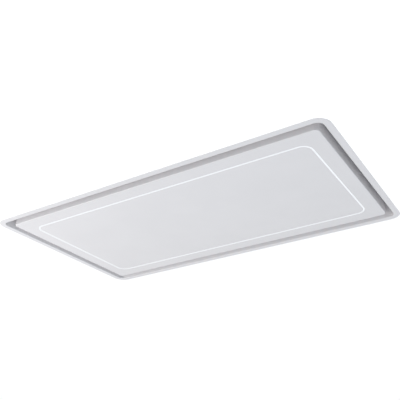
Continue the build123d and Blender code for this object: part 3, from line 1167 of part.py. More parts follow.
PIN_HALF = CHEEK_X + CHEEK_THICK / 2
with BuildPart() as hinge_pins:
    for hinge_x in (-HINGE_X, HINGE_X):
        with BuildSketch(Plane.YZ.offset(hinge_x - PIN_HALF)):
            with Locations((HINGE_Y, HINGE_Z)):
                Circle(PIN_R)
        extrude(amount=2 * PIN_HALF)
        for side in (-1, 1):
            with BuildSketch(Plane.YZ.offset(hinge_x + side * PIN_HALF)):
                with Locations((HINGE_Y, HINGE_Z)):
                    Circle(PIN_R * 1.5)
            extrude(amount=side * PIN_HEAD)
hinge_pins.part.label = "hinge_pins"
export_step(hinge_pins.part, "parts/hinge_pins.step")

with BuildPart() as strike_plates:
    with BuildSketch(Plane.XY.offset(PANEL_TOP)):
        with Locations((-CATCH_X, CATCH_Y), (CATCH_X, CATCH_Y)):
            Rectangle(MAGNET_LENGTH + MAGNET_WIDTH, MAGNET_WIDTH)
    extrude(amount=STRIKE_THICK)
strike_plates.part.label = "strike_plates"
export_step(strike_plates.part, "parts/strike_plates.step")

with BuildPart() as contact_pad:
    with BuildSketch(Plane.XY.offset(COVER_TOP)):
        with Locations((0, CONTACT_Y)):
            RectangleRounded(CONTACT_LENGTH + CONTACT_PITCH, CONTACT_WIDTH, CONTACT_WIDTH / 6)
    extrude(amount=PAD_THICK)
contact_pad.part.label = "contact_pad"
export_step(contact_pad.part, "parts/contact_pad.step")


# ---------------------------------------------------------------- screws, grouped by what they hold
def screw_set(plane, places, grip):
    """Return pan-head screws with heads on the plane's outer side and shanks through the grip."""
    with BuildPart() as screws:
        with BuildSketch(plane):
            with Locations(*places):
                Circle(SCREW_HEAD_R)
        extrude(amount=SCREW_HEAD)
        with BuildSketch(plane):
            with Locations(*places):
                Circle(SCREW_R)
        extrude(amount=-grip)
    return screws.part


# All the hood's screws are alike: lip, hinge arms and posts from below, housing walls from the
# sides, motor box and hangers into the ledge, the outlet plate, the scroll's rim and the lid.
DOWN = Plane(origin=(0, 0, 0), x_dir=(1, 0, 0), z_dir=(0, 0, -1))
FRONT = Plane(origin=(0, -PAN_Y / 2, 0), x_dir=(1, 0, 0), z_dir=(0, -1, 0))
REAR = Plane(origin=(0, PAN_Y / 2, 0), x_dir=(1, 0, 0), z_dir=(0, 1, 0))
WALL_GRIP = HOUSING_SHEET + SEAT_GAP + FRAME_SHEET
with BuildPart() as hood_screws:
    for places, sheet in ((DECK_SCREWS, FRAME_SHEET), (HINGE_SCREWS, ARM_THICK), (POST_SCREWS, POST_SHEET)):
        from_below = DOWN.offset(sheet - RECESS_TOP)
        add(screw_set(from_below, [(x, -y) for x, y in places], sheet + DECK_SHEET + SCREW_HEAD / 2))
    add(screw_set(FRONT, [(x, WALL_SCREW_Z) for x in WALL_SCREWS_X], WALL_GRIP))
    add(screw_set(REAR, [(x, -WALL_SCREW_Z) for x in WALL_SCREWS_X], WALL_GRIP))
    for places, sheet in ((BOX_SCREWS, HOUSING_SHEET), (HANGER_SCREWS, HANGER_SHEET)):
        add(screw_set(Plane.XY.offset(LEDGE + sheet), places, sheet + HOUSING_SHEET + SCREW_HEAD))
    add(screw_set(Plane.YZ.offset(BOX_LENGTH / 2 + DUCT_SHEET), DUCT_SCREWS, DUCT_SHEET + HOUSING_SHEET))
    add(screw_set(Plane.XY.offset(SCROLL_MID + SCROLL_SHEET), SCROLL_SCREWS, 2 * SCROLL_SHEET + SCREW_HEAD))
    add(screw_set(Plane.XY.offset(LEDGE + CONTROL_HEIGHT + CONTROL_SHEET), LID_SCREWS, 2 * CONTROL_SHEET))
hood_screws.part.label = "hood_screws"
export_step(hood_screws.part, "parts/hood_screws.step")

with BuildPart() as panel_screws:
    add(screw_set(Plane.XY.offset(COVER_TOP), COVER_SCREWS, PANEL_SHEET))
panel_screws.part.label = "panel_screws"
export_step(panel_screws.part, "parts/panel_screws.step")
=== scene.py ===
# %% [markdown]
# # A ceiling range hood, seen from below
#
# The hood hangs in a ceiling: a slim white frame, a dark suction slot, a flush white panel and a
# closed line of light. Above the ceiling stand the galvanised housing, the blower and the duct
# outlet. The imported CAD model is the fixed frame. This script gives each sheet, screw and spring
# its finish, and models again those pieces whose look depends on bends, coils and open mesh.

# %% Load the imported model
import json
from math import pi, radians

import bmesh
import bpy
from mathutils import Matrix, Vector


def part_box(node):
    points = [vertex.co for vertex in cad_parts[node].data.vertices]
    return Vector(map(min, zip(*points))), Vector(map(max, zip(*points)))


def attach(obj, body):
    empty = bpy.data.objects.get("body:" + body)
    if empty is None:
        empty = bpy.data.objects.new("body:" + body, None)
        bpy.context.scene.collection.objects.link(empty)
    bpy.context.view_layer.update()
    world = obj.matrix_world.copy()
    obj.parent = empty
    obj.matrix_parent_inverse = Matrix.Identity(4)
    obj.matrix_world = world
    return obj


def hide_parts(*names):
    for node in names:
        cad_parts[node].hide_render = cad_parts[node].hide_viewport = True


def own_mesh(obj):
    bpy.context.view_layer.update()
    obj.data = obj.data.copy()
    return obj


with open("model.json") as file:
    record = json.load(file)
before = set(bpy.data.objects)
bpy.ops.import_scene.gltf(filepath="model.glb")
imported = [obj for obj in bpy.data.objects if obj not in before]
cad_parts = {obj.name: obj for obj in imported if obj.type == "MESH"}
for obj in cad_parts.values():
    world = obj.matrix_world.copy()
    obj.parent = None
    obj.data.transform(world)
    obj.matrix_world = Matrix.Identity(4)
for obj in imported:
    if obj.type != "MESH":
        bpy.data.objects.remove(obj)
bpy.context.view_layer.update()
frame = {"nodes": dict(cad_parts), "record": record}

MM = 0.001

# %% [markdown]
# ## The camera
#
# The photograph looks up at the hood from the cook's side, to the right of its middle. A camera can
# be set by eye, but then no edge lies quite where it should. This one's place, lens and sideways
# shift were solved once from the frame's four edges and the light line, so they are plain numbers.
# A camera looks along its own -Z, so it is pitched up from the horizon by turning about X by 90
# degrees and the pitch together.

# %% Camera
CAMERA_PLACE = (0.7615, -1.1527, -0.966)
CAMERA_PITCH = 27.654
CAMERA_HEADING = 31.296
LENS = 54.08
SENSOR = 36.0
SHIFT_X = -0.0425

camera_data = bpy.data.cameras.new("photo_camera")
camera_data.lens = LENS
camera_data.sensor_width = SENSOR
camera_data.shift_x = SHIFT_X
camera = bpy.data.objects.new("photo_camera", camera_data)
camera.location = CAMERA_PLACE
camera.rotation_euler = (radians(90 + CAMERA_PITCH), 0, radians(CAMERA_HEADING))
bpy.context.scene.collection.objects.link(camera)
bpy.context.scene.camera = camera
bpy.context.scene.view_settings.view_transform = "Standard"
print("camera at", CAMERA_PLACE, "lens", LENS)

# %% [markdown]
# ## Materials are graphs of nodes
#
# Every finish below is a small graph: coordinates in metres go into a pattern, and the pattern
# steers colour, roughness and bump. A picture could be wrapped round each piece instead, but a
# pattern worked out from real millimetres stays sharp from any distance and needs no unwrapping.
# One function adds any node, with its settings and its links. Another turns an sRGB hex colour, as
# a paint chart gives it, into the linear light values that the renderer works in.

# %% Node and colour helpers
# A Mix node has sockets for every kind of value, so those for colour are reached by number.
MIX_A, MIX_B, MIX_OUT = 6, 7, 2
# Noise can reach from 0 to 1, but nearly all of it lies between these two.
NOISE_LOW, NOISE_HIGH = 0.3, 0.7
WHITE = (1.0, 1.0, 1.0, 1.0)


def linear(hex_colour):
    """Turn an sRGB hex colour such as "#EFEFEF" into linear RGBA, by the curve of that standard."""
    parts = [int(hex_colour[i:i + 2], 16) / 255 for i in (1, 3, 5)]
    return (*[p / 12.92 if p <= 0.04045 else ((p + 0.055) / 1.055) ** 2.4 for p in parts], 1.0)


def node(tree, kind, inputs=None, **settings):
    """Add a shader node. Inputs are values, or the sockets that feed them."""
    made = tree.nodes.new("ShaderNode" + kind)
    for name, value in settings.items():
        setattr(made, name, value)
    for socket, value in (inputs or {}).items():
        if isinstance(value, bpy.types.NodeSocket):
            tree.links.new(value, made.inputs[socket])
        else:
            made.inputs[socket].default_value = value
    return made


def blank_material(name):
    """Return an empty node material, its tree and its object coordinates."""
    material = bpy.data.materials.new(name)
    material.use_nodes = True
    material.node_tree.nodes.clear()
    tree = material.node_tree
    return material, tree, node(tree, "TexCoord").outputs["Object"]


def finish_surface(tree, shader):
    """Lead a shader's first output to the material's surface."""
    node(tree, "OutputMaterial", {"Surface": shader.outputs[0]})


finishes = {}

# %% [markdown]
# ## White powder coat
#
# The frame and the panel are folded steel with a satin white powder coat. It is one even white,
# with a skin like very fine orange peel, so most of its look is a soft, slightly broken gloss. The
# colour drifts by less than one step in a hundred over a hand's width, where the cured powder lies
# thicker or thinner. One plain colour would look like paper, so a wide noise carries the drift and
# a fine one the peel.

# %% Powder coat
PEEL_SIZE = 1.6 * MM
PEEL_DEPTH = 0.2 * MM
PEEL_STRENGTH = 0.08
DRIFT_SIZE = 90 * MM
GLOSS_SWING = 0.04


def powder_coat(name, light, dark, roughness):
    """A satin powder coat between two close tones."""
    material, tree, place = blank_material(name)
    drift = node(tree, "TexNoise", {"Vector": place, "Scale": 1 / DRIFT_SIZE, "Detail": 3.0})
    peel = node(tree, "TexNoise", {"Vector": place, "Scale": 1 / PEEL_SIZE, "Detail": 1.0})
    tone = node(tree, "Mix", {"Factor": drift.outputs["Fac"], MIX_A: linear(light),
                              MIX_B: linear(dark)}, data_type="RGBA")
    gloss = node(tree, "MapRange", {
        "Value": drift.outputs["Fac"], "From Min": NOISE_LOW, "From Max": NOISE_HIGH,
        "To Min": roughness - GLOSS_SWING, "To Max": roughness + GLOSS_SWING})
    skin = node(tree, "Bump", {"Height": peel.outputs["Fac"], "Strength": PEEL_STRENGTH,
                               "Distance": PEEL_DEPTH})
    finish_surface(tree, node(tree, "BsdfPrincipled", {
        "Base Color": tone.outputs[MIX_OUT], "Roughness": gloss.outputs[0],
        "Normal": skin.outputs[0]}))
    return material


finishes["white_paint"] = powder_coat("satin_white_powder_coat", "#F6F3F4", "#F1EEEF", 0.36)
print("made", finishes["white_paint"].name)

# %% [markdown]
# ## Galvanised sheet
#
# Hot-dip zinc freezes in crystals, the spangle, a few millimetres to a few centimetres wide. Each
# crystal reflects a little differently, so the sheet looks like a mosaic of close greys. A Voronoi
# pattern gives the crystals, and its random colour per cell sets the grey, the roughness and a
# slight tilt of each facet. Plain noise would give clouds, which zinc doesn't have.

# %% Galvanised sheet
SPANGLE = 11 * MM
WANDERS_PER_CRYSTAL = 0.6
WANDER_REACH = 0.5 * SPANGLE
FROST_PER_CRYSTAL = 8
FROST_SHARE = 0.35
FACET_TILT = 0.2


def galvanised_sheet(name, dark, light, rough_low, rough_high):
    """Zinc coated steel with a spangle of crystals whose edges wander."""
    material, tree, place = blank_material(name)
    wander = node(tree, "TexNoise", {"Vector": place, "Scale": WANDERS_PER_CRYSTAL / SPANGLE,
                                     "Detail": 2.0})
    shift = node(tree, "VectorMath", {0: wander.outputs["Color"], "Scale": WANDER_REACH},
                 operation="SCALE")
    bent = node(tree, "VectorMath", {0: place, 1: shift.outputs[0]}, operation="ADD")
    crystals = node(tree, "TexVoronoi", {"Vector": bent.outputs[0], "Scale": 1 / SPANGLE})
    chance = node(tree, "SeparateColor", {"Color": crystals.outputs["Color"]})
    frost = node(tree, "TexNoise", {"Vector": place, "Scale": FROST_PER_CRYSTAL / SPANGLE,
                                    "Detail": 4.0})
    frosted = node(tree, "Math", {0: frost.outputs["Fac"], 1: FROST_SHARE, 2: -FROST_SHARE / 2},
                   operation="MULTIPLY_ADD")
    grey = node(tree, "Math", {0: chance.outputs[0], 1: frosted.outputs[0]}, operation="ADD")
    tone = node(tree, "Mix", {"Factor": grey.outputs[0], MIX_A: linear(dark),
                              MIX_B: linear(light)}, data_type="RGBA")
    rough = node(tree, "MapRange", {"Value": chance.outputs[1], "To Min": rough_low,
                                    "To Max": rough_high})
    spread = node(tree, "VectorMath", {0: crystals.outputs["Color"], 1: (0.5, 0.5, 0.5)},
                  operation="SUBTRACT")
    reach = node(tree, "VectorMath", {0: bent.outputs[0], 1: crystals.outputs["Position"]},
                 operation="SUBTRACT")
    tilt = node(tree, "VectorMath", {0: spread.outputs[0], 1: reach.outputs[0]},
                operation="DOT_PRODUCT")
    facet = node(tree, "Bump", {"Height": tilt.outputs["Value"], "Strength": FACET_TILT,
                                "Distance": 1.0})
    finish_surface(tree, node(tree, "BsdfPrincipled", {
        "Base Color": tone.outputs[MIX_OUT], "Metallic": 1.0, "Roughness": rough.outputs[0],
        "Normal": facet.outputs[0]}))
    return material


finishes["galvanised"] = galvanised_sheet("hot_dip_galvanised_sheet", "#B4B8BB", "#CBCED0",
                                          0.36, 0.5)
print("made", finishes["galvanised"].name)

# %% [markdown]
# ## Plated and drawn steel, aluminium, brass
#
# Hinges, pins and screws are steel with a thin bright zinc plating, which is smoother than hot-dip
# zinc and has a cloudy blue and straw tint. Springs are drawn wire, and the filters' frames are
# brushed aluminium. One builder makes them all: clouds between two tints, and fine lines for what a
# die, a brush or a press leaves behind. A stretch draws both out along the brushing.

# %% Plated and drawn metals
CLOUD_LOW, CLOUD_HIGH = 0.35, 0.65
LINES_PER_CLOUD = 12
LINE_STRENGTH = 0.1
LINE_DEPTH = 0.1 * MM
SMOOTHER, ROUGHER = 0.06, 0.08


def plated_metal(name, first, second, cloud, roughness, stretch=(1, 1, 1)):
    """Smooth metal whose tint drifts in clouds of a given size, drawn out by the stretch."""
    material, tree, place = blank_material(name)
    pulled = node(tree, "Mapping", {"Vector": place, "Scale": stretch}).outputs[0]
    clouds = node(tree, "TexNoise", {"Vector": pulled, "Scale": 1 / cloud, "Detail": 4.0})
    lines = node(tree, "TexNoise", {"Vector": pulled, "Scale": LINES_PER_CLOUD / cloud,
                                    "Detail": 2.0})
    tint = node(tree, "MapRange", {"Value": clouds.outputs["Fac"], "From Min": CLOUD_LOW,
                                   "From Max": CLOUD_HIGH})
    tone = node(tree, "Mix", {"Factor": tint.outputs[0], MIX_A: linear(first),
                              MIX_B: linear(second)}, data_type="RGBA")
    rough = node(tree, "MapRange", {
        "Value": lines.outputs["Fac"], "From Min": NOISE_LOW, "From Max": NOISE_HIGH,
        "To Min": roughness - SMOOTHER, "To Max": roughness + ROUGHER})
    skin = node(tree, "Bump", {"Height": lines.outputs["Fac"], "Strength": LINE_STRENGTH,
                               "Distance": LINE_DEPTH})
    finish_surface(tree, node(tree, "BsdfPrincipled", {
        "Base Color": tone.outputs[MIX_OUT], "Metallic": 1.0, "Roughness": rough.outputs[0],
        "Normal": skin.outputs[0]}))
    return material


finishes["bright_steel"] = plated_metal("bright_zinc_plated_steel", "#C3C7CC", "#CFCBC2",
                                        14 * MM, 0.3)
finishes["zinc"] = plated_metal("zinc_plated_screw_steel", "#B9BEC4", "#CDC8BA", 3 * MM, 0.32)
finishes["spring_steel"] = plated_metal("drawn_spring_wire", "#8F9093", "#A4A3A1", 2 * MM, 0.34)
finishes["aluminium"] = plated_metal("brushed_anodised_aluminium", "#CDCFD1", "#DADBDC",
                                     40 * MM, 0.36, stretch=(0.05, 1, 1))
finishes["filter_mesh"] = plated_metal("rolled_aluminium_mesh", "#BFC1C3", "#D3D5D6",
                                       6 * MM, 0.3)
finishes["brass"] = plated_metal("bright_contact_brass", "#C9A45A", "#D8B36A", 5 * MM, 0.26)
print("finishes so far:", len(finishes))

# %% [markdown]
# ## Moulded plastic, rubber, lacquer and ferrite
#
# A moulded piece takes the texture of its mould: a fine spark-eroded grain that breaks the gloss.
# The same graph with other numbers gives matt rubber, the dark lacquer of a motor shell and the
# ground, slightly speckled face of a ferrite magnet. The grain of the real pieces is finer still,
# and is drawn as coarse as it needs to be to show in the render.

# %% Moulded and other dull finishes
GRAIN_STRENGTH = 0.12
GRAIN_DEPTH = 0.2 * MM
GRAIN_SWING = 0.06


def grained(name, light, dark, grain, roughness, speckle=8.0):
    """A dull surface with grain of a given size, and tones that wander over larger patches."""
    material, tree, place = blank_material(name)
    patches = node(tree, "TexNoise", {"Vector": place, "Scale": 1 / (speckle * grain),
                                      "Detail": 3.0})
    pits = node(tree, "TexNoise", {"Vector": place, "Scale": 1 / grain, "Detail": 2.0})
    tone = node(tree, "Mix", {"Factor": patches.outputs["Fac"], MIX_A: linear(light),
                              MIX_B: linear(dark)}, data_type="RGBA")
    rough = node(tree, "MapRange", {
        "Value": pits.outputs["Fac"], "From Min": NOISE_LOW, "From Max": NOISE_HIGH,
        "To Min": roughness - GRAIN_SWING, "To Max": roughness + GRAIN_SWING})
    skin = node(tree, "Bump", {"Height": pits.outputs["Fac"], "Strength": GRAIN_STRENGTH,
                               "Distance": GRAIN_DEPTH})
    finish_surface(tree, node(tree, "BsdfPrincipled", {
        "Base Color": tone.outputs[MIX_OUT], "Roughness": rough.outputs[0],
        "Normal": skin.outputs[0]}))
    return material


finishes["white_plastic"] = grained("moulded_white_abs", "#DEDDD7", "#D4D3CC", 0.8 * MM, 0.42)
finishes["grey_plastic"] = grained("moulded_grey_polypropylene", "#7A7E82", "#6C7074",
                                   0.9 * MM, 0.5)
finishes["black_plastic"] = grained("moulded_black_nylon", "#26272A", "#1B1C1E", 0.9 * MM, 0.46)
finishes["rubber"] = grained("matt_black_rubber", "#222222", "#191919", 0.7 * MM, 0.78)
finishes["ferrite"] = grained("ground_ferrite", "#35363A", "#28292C", 0.5 * MM, 0.55, speckle=3.0)
finishes["motor_casting"] = grained("dark_lacquered_motor_shell", "#3A3D40", "#303336",
                                    1.4 * MM, 0.4)
finishes["led_phosphor"] = grained("yellow_phosphor_resin", "#F2E39A", "#E9D67F", 0.4 * MM, 0.3)
print("finishes so far:", len(finishes))

# %% [markdown]
# ## The lit diffuser
#
# The line is opal acrylic with a strip of light chips behind it. Seen from the room the chips have
# blended into one even glow, so the finish is a white, slightly glossy body that gives off light
# itself. Real light through a real acrylic would be slow and noisy to render, and look the same.
# Its own light is kept below white, because room light is added to it.

# %% Opal diffuser
LINE_GLOW = 0.34
LINE_RIPPLE = 30 * MM
RIPPLE_SWING = 0.03
ACRYLIC_ROUGHNESS = 0.3


def opal_diffuser(name):
    """Opal acrylic that glows, a trace brighter over each light chip."""
    material, tree, place = blank_material(name)
    ripple = node(tree, "TexNoise", {"Vector": place, "Scale": 1 / LINE_RIPPLE, "Detail": 0.0})
    glow = node(tree, "MapRange", {"Value": ripple.outputs["Fac"],
                                   "To Min": LINE_GLOW * (1 - RIPPLE_SWING),
                                   "To Max": LINE_GLOW * (1 + RIPPLE_SWING)})
    tone = node(tree, "Mix", {"Factor": ripple.outputs["Fac"], MIX_A: linear("#F4F6F8"),
                              MIX_B: linear("#EEF2F5")}, data_type="RGBA")
    finish_surface(tree, node(tree, "BsdfPrincipled", {
        "Base Color": tone.outputs[MIX_OUT], "Roughness": ACRYLIC_ROUGHNESS,
        "Emission Color": WHITE, "Emission Strength": glow.outputs[0]}))
    return material


finishes["light_line"] = opal_diffuser("lit_opal_acrylic")
print("finishes:", len(finishes))

# %% [markdown]
# ## Dress the CAD pieces
#
# Each CAD piece names the slot of its material in the record. Putting our finish in that slot
# dresses the piece and changes nothing else about it.

# %% Materials on the CAD pieces
slot_of = {part["node"]: part["material_slot"] for part in frame["record"]["subparts"]}
body_of = {name: body for body, names in frame["record"]["behaviour"]["bodies"].items()
           for name in names}
for name, piece in frame["nodes"].items():
    for material_slot in piece.material_slots:
        material_slot.material = finishes[slot_of[name]]
print("dressed", len(frame["nodes"]), "CAD pieces")

# %% [markdown]
# ## From a bmesh to a piece
#
# A bmesh is the editable form of a mesh, and its operators are the tools of Edit Mode. When a shape
# is done it becomes a piece: smooth shading with sharp creases kept, a finish, a body to ride on,
# and the CAD nodes that it stands for. Folded sheet is modelled as its visible skin and thickened
# by a Solidify modifier. A Bevel modifier breaks its edges, and Weighted Normals keep large flats
# from shading as if they were bent. Modifiers do this last step, because they keep the skin simple.

# %% Piece helpers
CREASE = radians(35)
BREAK_ANGLE = radians(40)


def add_piece(name, bm, *nodes, slot=None, body=None):
    """Make a piece from a bmesh, with the slot and body of the CAD nodes that it replaces."""
    mesh = bpy.data.meshes.new(name)
    bm.to_mesh(mesh)
    bm.free()
    slot = slot or slot_of[nodes[0]]
    mesh.materials.append(finishes[slot])
    mesh.polygons.foreach_set("use_smooth", [True] * len(mesh.polygons))
    mesh.set_sharp_from_angle(angle=CREASE)
    piece = bpy.data.objects.new(name, mesh)
    bpy.context.scene.collection.objects.link(piece)
    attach(piece, body or body_of[nodes[0]])
    if nodes:
        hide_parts(*nodes)
    print(name, len(mesh.polygons), "faces")
    return piece


def add_modifier(piece, kind, **settings):
    """Add a modifier with its settings."""
    modifier = piece.modifiers.new(kind.lower(), kind)
    for name, value in settings.items():
        setattr(modifier, name, value)


def flat_shading(piece):
    """Keep the flats of a piece from shading as if they were bent."""
    add_modifier(piece, "WEIGHTED_NORMAL", keep_sharp=True)


def break_edges(piece, width):
    """Round every sharp edge a little, and keep the flats flat."""
    add_modifier(piece, "BEVEL", width=width, segments=2, limit_method="ANGLE",
                 angle_limit=BREAK_ANGLE, miter_outer="MITER_ARC")
    flat_shading(piece)


def thicken(piece, sheet):
    """Give a skin its sheet thickness, away from the side that its faces look to."""
    add_modifier(piece, "SOLIDIFY", thickness=sheet, offset=-1.0, use_even_offset=True)


# %% [markdown]
# ## Sweeping a profile round a rounded rectangle
#
# The frame, the panel and the housing are all one profile taken round four corners. A bevelled box
# could be hollowed out instead, but a profile says plainly what is folded where. It is a wire of
# points. A vertex bevel rounds its bends, `spin` turns it a quarter round one corner, `extrude`
# carries both ends to the middle of the sides, and two mirrors complete the ring. Reach is
# measured outwards from the corner's centre, so a reach is also the radius of that edge.

# %% Sweep helpers
CORNER_STEPS = 10
BEND_STEPS = 4
JOIN = 1e-6


def vertices(geometry):
    """Return the vertices in an operator's result."""
    return [item for item in geometry if isinstance(item, bmesh.types.BMVert)]


def sweep_round(bm, profile, corner, bends=()):
    """Add a band with a profile of (reach, level) points, with (index, radius) bends."""
    band = bmesh.new()
    wire = [band.verts.new((corner[0] + reach, corner[1], level)) for reach, level in profile]
    for pair in zip(wire, wire[1:]):
        band.edges.new(pair)
    for index, radius in bends:
        bmesh.ops.bevel(band, geom=[wire[index]], offset=radius, segments=BEND_STEPS, profile=0.5,
                        affect="VERTICES", material=-1)
    start = band.edges[:]
    turned = bmesh.ops.spin(band, geom=band.verts[:] + start, cent=(*corner, 0), axis=(0, 0, 1),
                            angle=pi / 2, steps=CORNER_STEPS)
    end = [item for item in turned["geom_last"] if isinstance(item, bmesh.types.BMEdge)]
    for edges, run in ((start, (0, -corner[1], 0)), (end, (-corner[0], 0, 0))):
        grown = bmesh.ops.extrude_edge_only(band, edges=edges)
        bmesh.ops.translate(band, verts=vertices(grown["geom"]), vec=run)
    for axis in "XY":
        bmesh.ops.mirror(band, geom=band.verts[:] + band.edges[:] + band.faces[:], axis=axis,
                         merge_dist=JOIN)
    bmesh.ops.remove_doubles(band, verts=band.verts, dist=JOIN)
    carrier = bpy.data.meshes.new("band")
    band.to_mesh(carrier)
    band.free()
    bm.from_mesh(carrier)
    bpy.data.meshes.remove(carrier)


def outline_at(bm, corner, reach, level):
    """Return the edges that follow the rounded rectangle at a reach and a level."""
    def on_it(vert):
        away = Vector((max(abs(vert.co.x) - corner[0], 0), max(abs(vert.co.y) - corner[1], 0)))
        return abs(away.length - reach) < JOIN and abs(vert.co.z - level) < JOIN
    return [edge for edge in bm.edges if all(on_it(vert) for vert in edge.verts)]


def look_down(bm):
    """Point the faces of an open skin the same way, with the larger part of it looking down."""
    bmesh.ops.recalc_face_normals(bm, faces=bm.faces)
    if sum(face.normal.z * face.calc_area() for face in bm.faces) > 0:
        bmesh.ops.reverse_faces(bm, faces=bm.faces)


# %% [markdown]
# ## The white frame
#
# One strip of steel is folded into the flange that laps the ceiling, the wall of the recess and the
# lip that carries the deck. The photograph shows the flange as a slim flat band with an even bend
# into the slot. The CAD model parts it in straight strips and corners, whose seams the real sheet
# doesn't have. Here it is one folded sheet.

# %% Trim frame
FRAME_SHEET = 1.2 * MM
FRAME_CORNER_R = 31 * MM
FRAME_BEND_R = 1.2 * MM
FRAME_EDGE_BREAK = 0.35 * MM
LIP = 14 * MM

flange_low, flange_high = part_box("trim_flange")
underside = flange_low.z
frame_corner = (flange_high.x - FRAME_CORNER_R, flange_high.y - FRAME_CORNER_R)
wall_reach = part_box("recess_wall")[1].x - FRAME_SHEET - frame_corner[0]
lip_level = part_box("recess_lip")[0].z

bm = bmesh.new()
sweep_round(bm, [(FRAME_CORNER_R, underside), (wall_reach, underside), (wall_reach, lip_level),
                 (wall_reach - LIP, lip_level)],
            frame_corner, bends=((2, FRAME_BEND_R), (1, FRAME_BEND_R)))
look_down(bm)
trim_frame = add_piece("trim_frame", bm, "trim_flange", "recess_wall", "recess_lip")
thicken(trim_frame, FRAME_SHEET)
break_edges(trim_frame, FRAME_EDGE_BREAK)
print("flange reach in mm:", round(wall_reach / MM, 2), "to", FRAME_CORNER_R / MM)

# %% [markdown]
# ## The panel
#
# The panel's outer sheet is flat outside the light line, rolls over a small edge radius into its
# side walls, and ends in a rim turned inwards. Its outer corners and those of the light line have
# different centres, so one sweep can't make both. Two sweeps do, and `bridge_loops` joins them:
# both rings have the same number of steps.

# %% Panel shell
PANEL_SHEET = 1.0 * MM
PANEL_CORNER_R = 11.5 * MM
PANEL_EDGE_R = 1.4 * MM
PANEL_EDGE_BREAK = 0.25 * MM
PANEL_RIM = 10 * MM
LINE_WIDTH = 3 * MM
LINE_CORNER_R = 23.5 * MM
FLAT_BORDER = 5 * MM

panel_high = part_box("panel_ring")[1]
panel_corner = (panel_high.x - PANEL_CORNER_R, panel_high.y - PANEL_CORNER_R)
centre_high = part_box("panel_centre")[1]
plate_r = LINE_CORNER_R - LINE_WIDTH / 2
slot_r = LINE_CORNER_R + LINE_WIDTH / 2
line_corner = (centre_high.x - plate_r, centre_high.y - plate_r)
flat_reach = PANEL_CORNER_R - PANEL_EDGE_R - FLAT_BORDER

bm = bmesh.new()
sweep_round(bm, [(PANEL_CORNER_R - PANEL_RIM, panel_high.z), (PANEL_CORNER_R, panel_high.z),
                 (PANEL_CORNER_R, underside), (flat_reach, underside)],
            panel_corner, bends=((2, PANEL_EDGE_R), (1, PANEL_SHEET)))
sweep_round(bm, [(slot_r, underside), (slot_r + FLAT_BORDER, underside)], line_corner)
bmesh.ops.bridge_loops(bm, edges=outline_at(bm, panel_corner, flat_reach, underside)
                       + outline_at(bm, line_corner, slot_r + FLAT_BORDER, underside))
print("panel skin:", len(bm.faces), "faces before its notches")

# %% [markdown]
# ## Notches for the hinge arms
#
# The panel swings on a hinge at the back, and the hood's two hinge arms reach down through its rear
# wall. The real sheet is punched there. A Boolean could cut it, but on a thin open skin it is
# safer to cut along the notch's planes with `bisect_plane` and to delete what lies between them.

# %% Hinge notches
NOTCH_HALF = 4.5 * MM
NOTCH_PLAY = 3 * MM

leaf_low, leaf_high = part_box("hinge_leaf_right")
notch_centre = (leaf_low.x + leaf_high.x) / 2
notch_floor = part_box("hinge_arm_right")[0].z - NOTCH_PLAY


def once(items):
    """Return the items in their first order, each only once."""
    return list(dict.fromkeys(items))


def is_rear(face):
    """True for the faces of the rear wall and its rim."""
    return face.calc_center_median().y > panel_corner[1]


cuts = [((side * notch_centre + edge * NOTCH_HALF, 0, 0), (1, 0, 0))
        for side in (-1, 1) for edge in (-1, 1)] + [((0, 0, notch_floor), (0, 0, 1))]
for place, normal in cuts:
    rear = [face for face in bm.faces if is_rear(face)]
    touched = once(item for face in rear for item in (face, *face.edges, *face.verts))
    bmesh.ops.bisect_plane(bm, geom=touched, plane_co=place, plane_no=normal)
gone = []
for face in bm.faces:
    middle = face.calc_center_median()
    if is_rear(face) and middle.z > notch_floor and abs(abs(middle.x) - notch_centre) < NOTCH_HALF:
        gone.append(face)
bmesh.ops.delete(bm, geom=gone, context="FACES")
look_down(bm)
panel_shell = add_piece("panel_shell", bm, "panel_ring")
thicken(panel_shell, PANEL_SHEET)
break_edges(panel_shell, PANEL_EDGE_BREAK)
print("notches at x in mm:", round(notch_centre / MM, 1), "on both sides")

# %% [markdown]
# ## The plate inside the light line
#
# The middle of the panel is one flat plate, carried by the cover behind it. It is a narrow sweep
# round the line's corners, whose inner edge is closed by a single face, so that the large flat has
# nothing in it that could shade unevenly.

# %% Centre plate
bm = bmesh.new()
sweep_round(bm, [(plate_r, underside), (plate_r - FLAT_BORDER, underside)], line_corner)
bmesh.ops.contextual_create(bm, geom=outline_at(bm, line_corner, plate_r - FLAT_BORDER, underside))
look_down(bm)
centre_plate = add_piece("panel_centre_plate", bm, "panel_centre")
thicken(centre_plate, PANEL_SHEET)
break_edges(centre_plate, PANEL_EDGE_BREAK)

# %% [markdown]
# ## Sheet metal from the CAD model
#
# Brackets, boxes and latches have the right shape already, but their edges are as sharp as a
# drawing. Each is copied, its loose triangles are merged and its flats joined again, and a small
# bevel breaks the edges, so that light catches them as it does on pressed and moulded pieces.

# %% Softened copies
FLAT_ANGLE = radians(1)
SIDES = ("left", "right")
# How far the edges of each piece are broken, in millimetres.
EDGE_BREAKS = {
    0.25: ["outlet_plate", "filter_rails", "catch_posts", "damper_flap_a", "damper_flap_b"],
    0.35: ["control_box", "hinge_arms", "hinge_leaves", "strike_plates", "hanger_brackets"],
    0.5: ["switch_bezel", "master_rocker", "contact_block", "contact_pad", "catch_magnets",
          "control_box_lid", "cable_gland"],
}
EDGE_BREAKS_EACH_SIDE = {"filter_frame": 0.8, "filter_latch": 0.4}
PAIRS = {"catch_posts": "catch_post", "hinge_arms": "hinge_arm", "hinge_leaves": "hinge_leaf"}


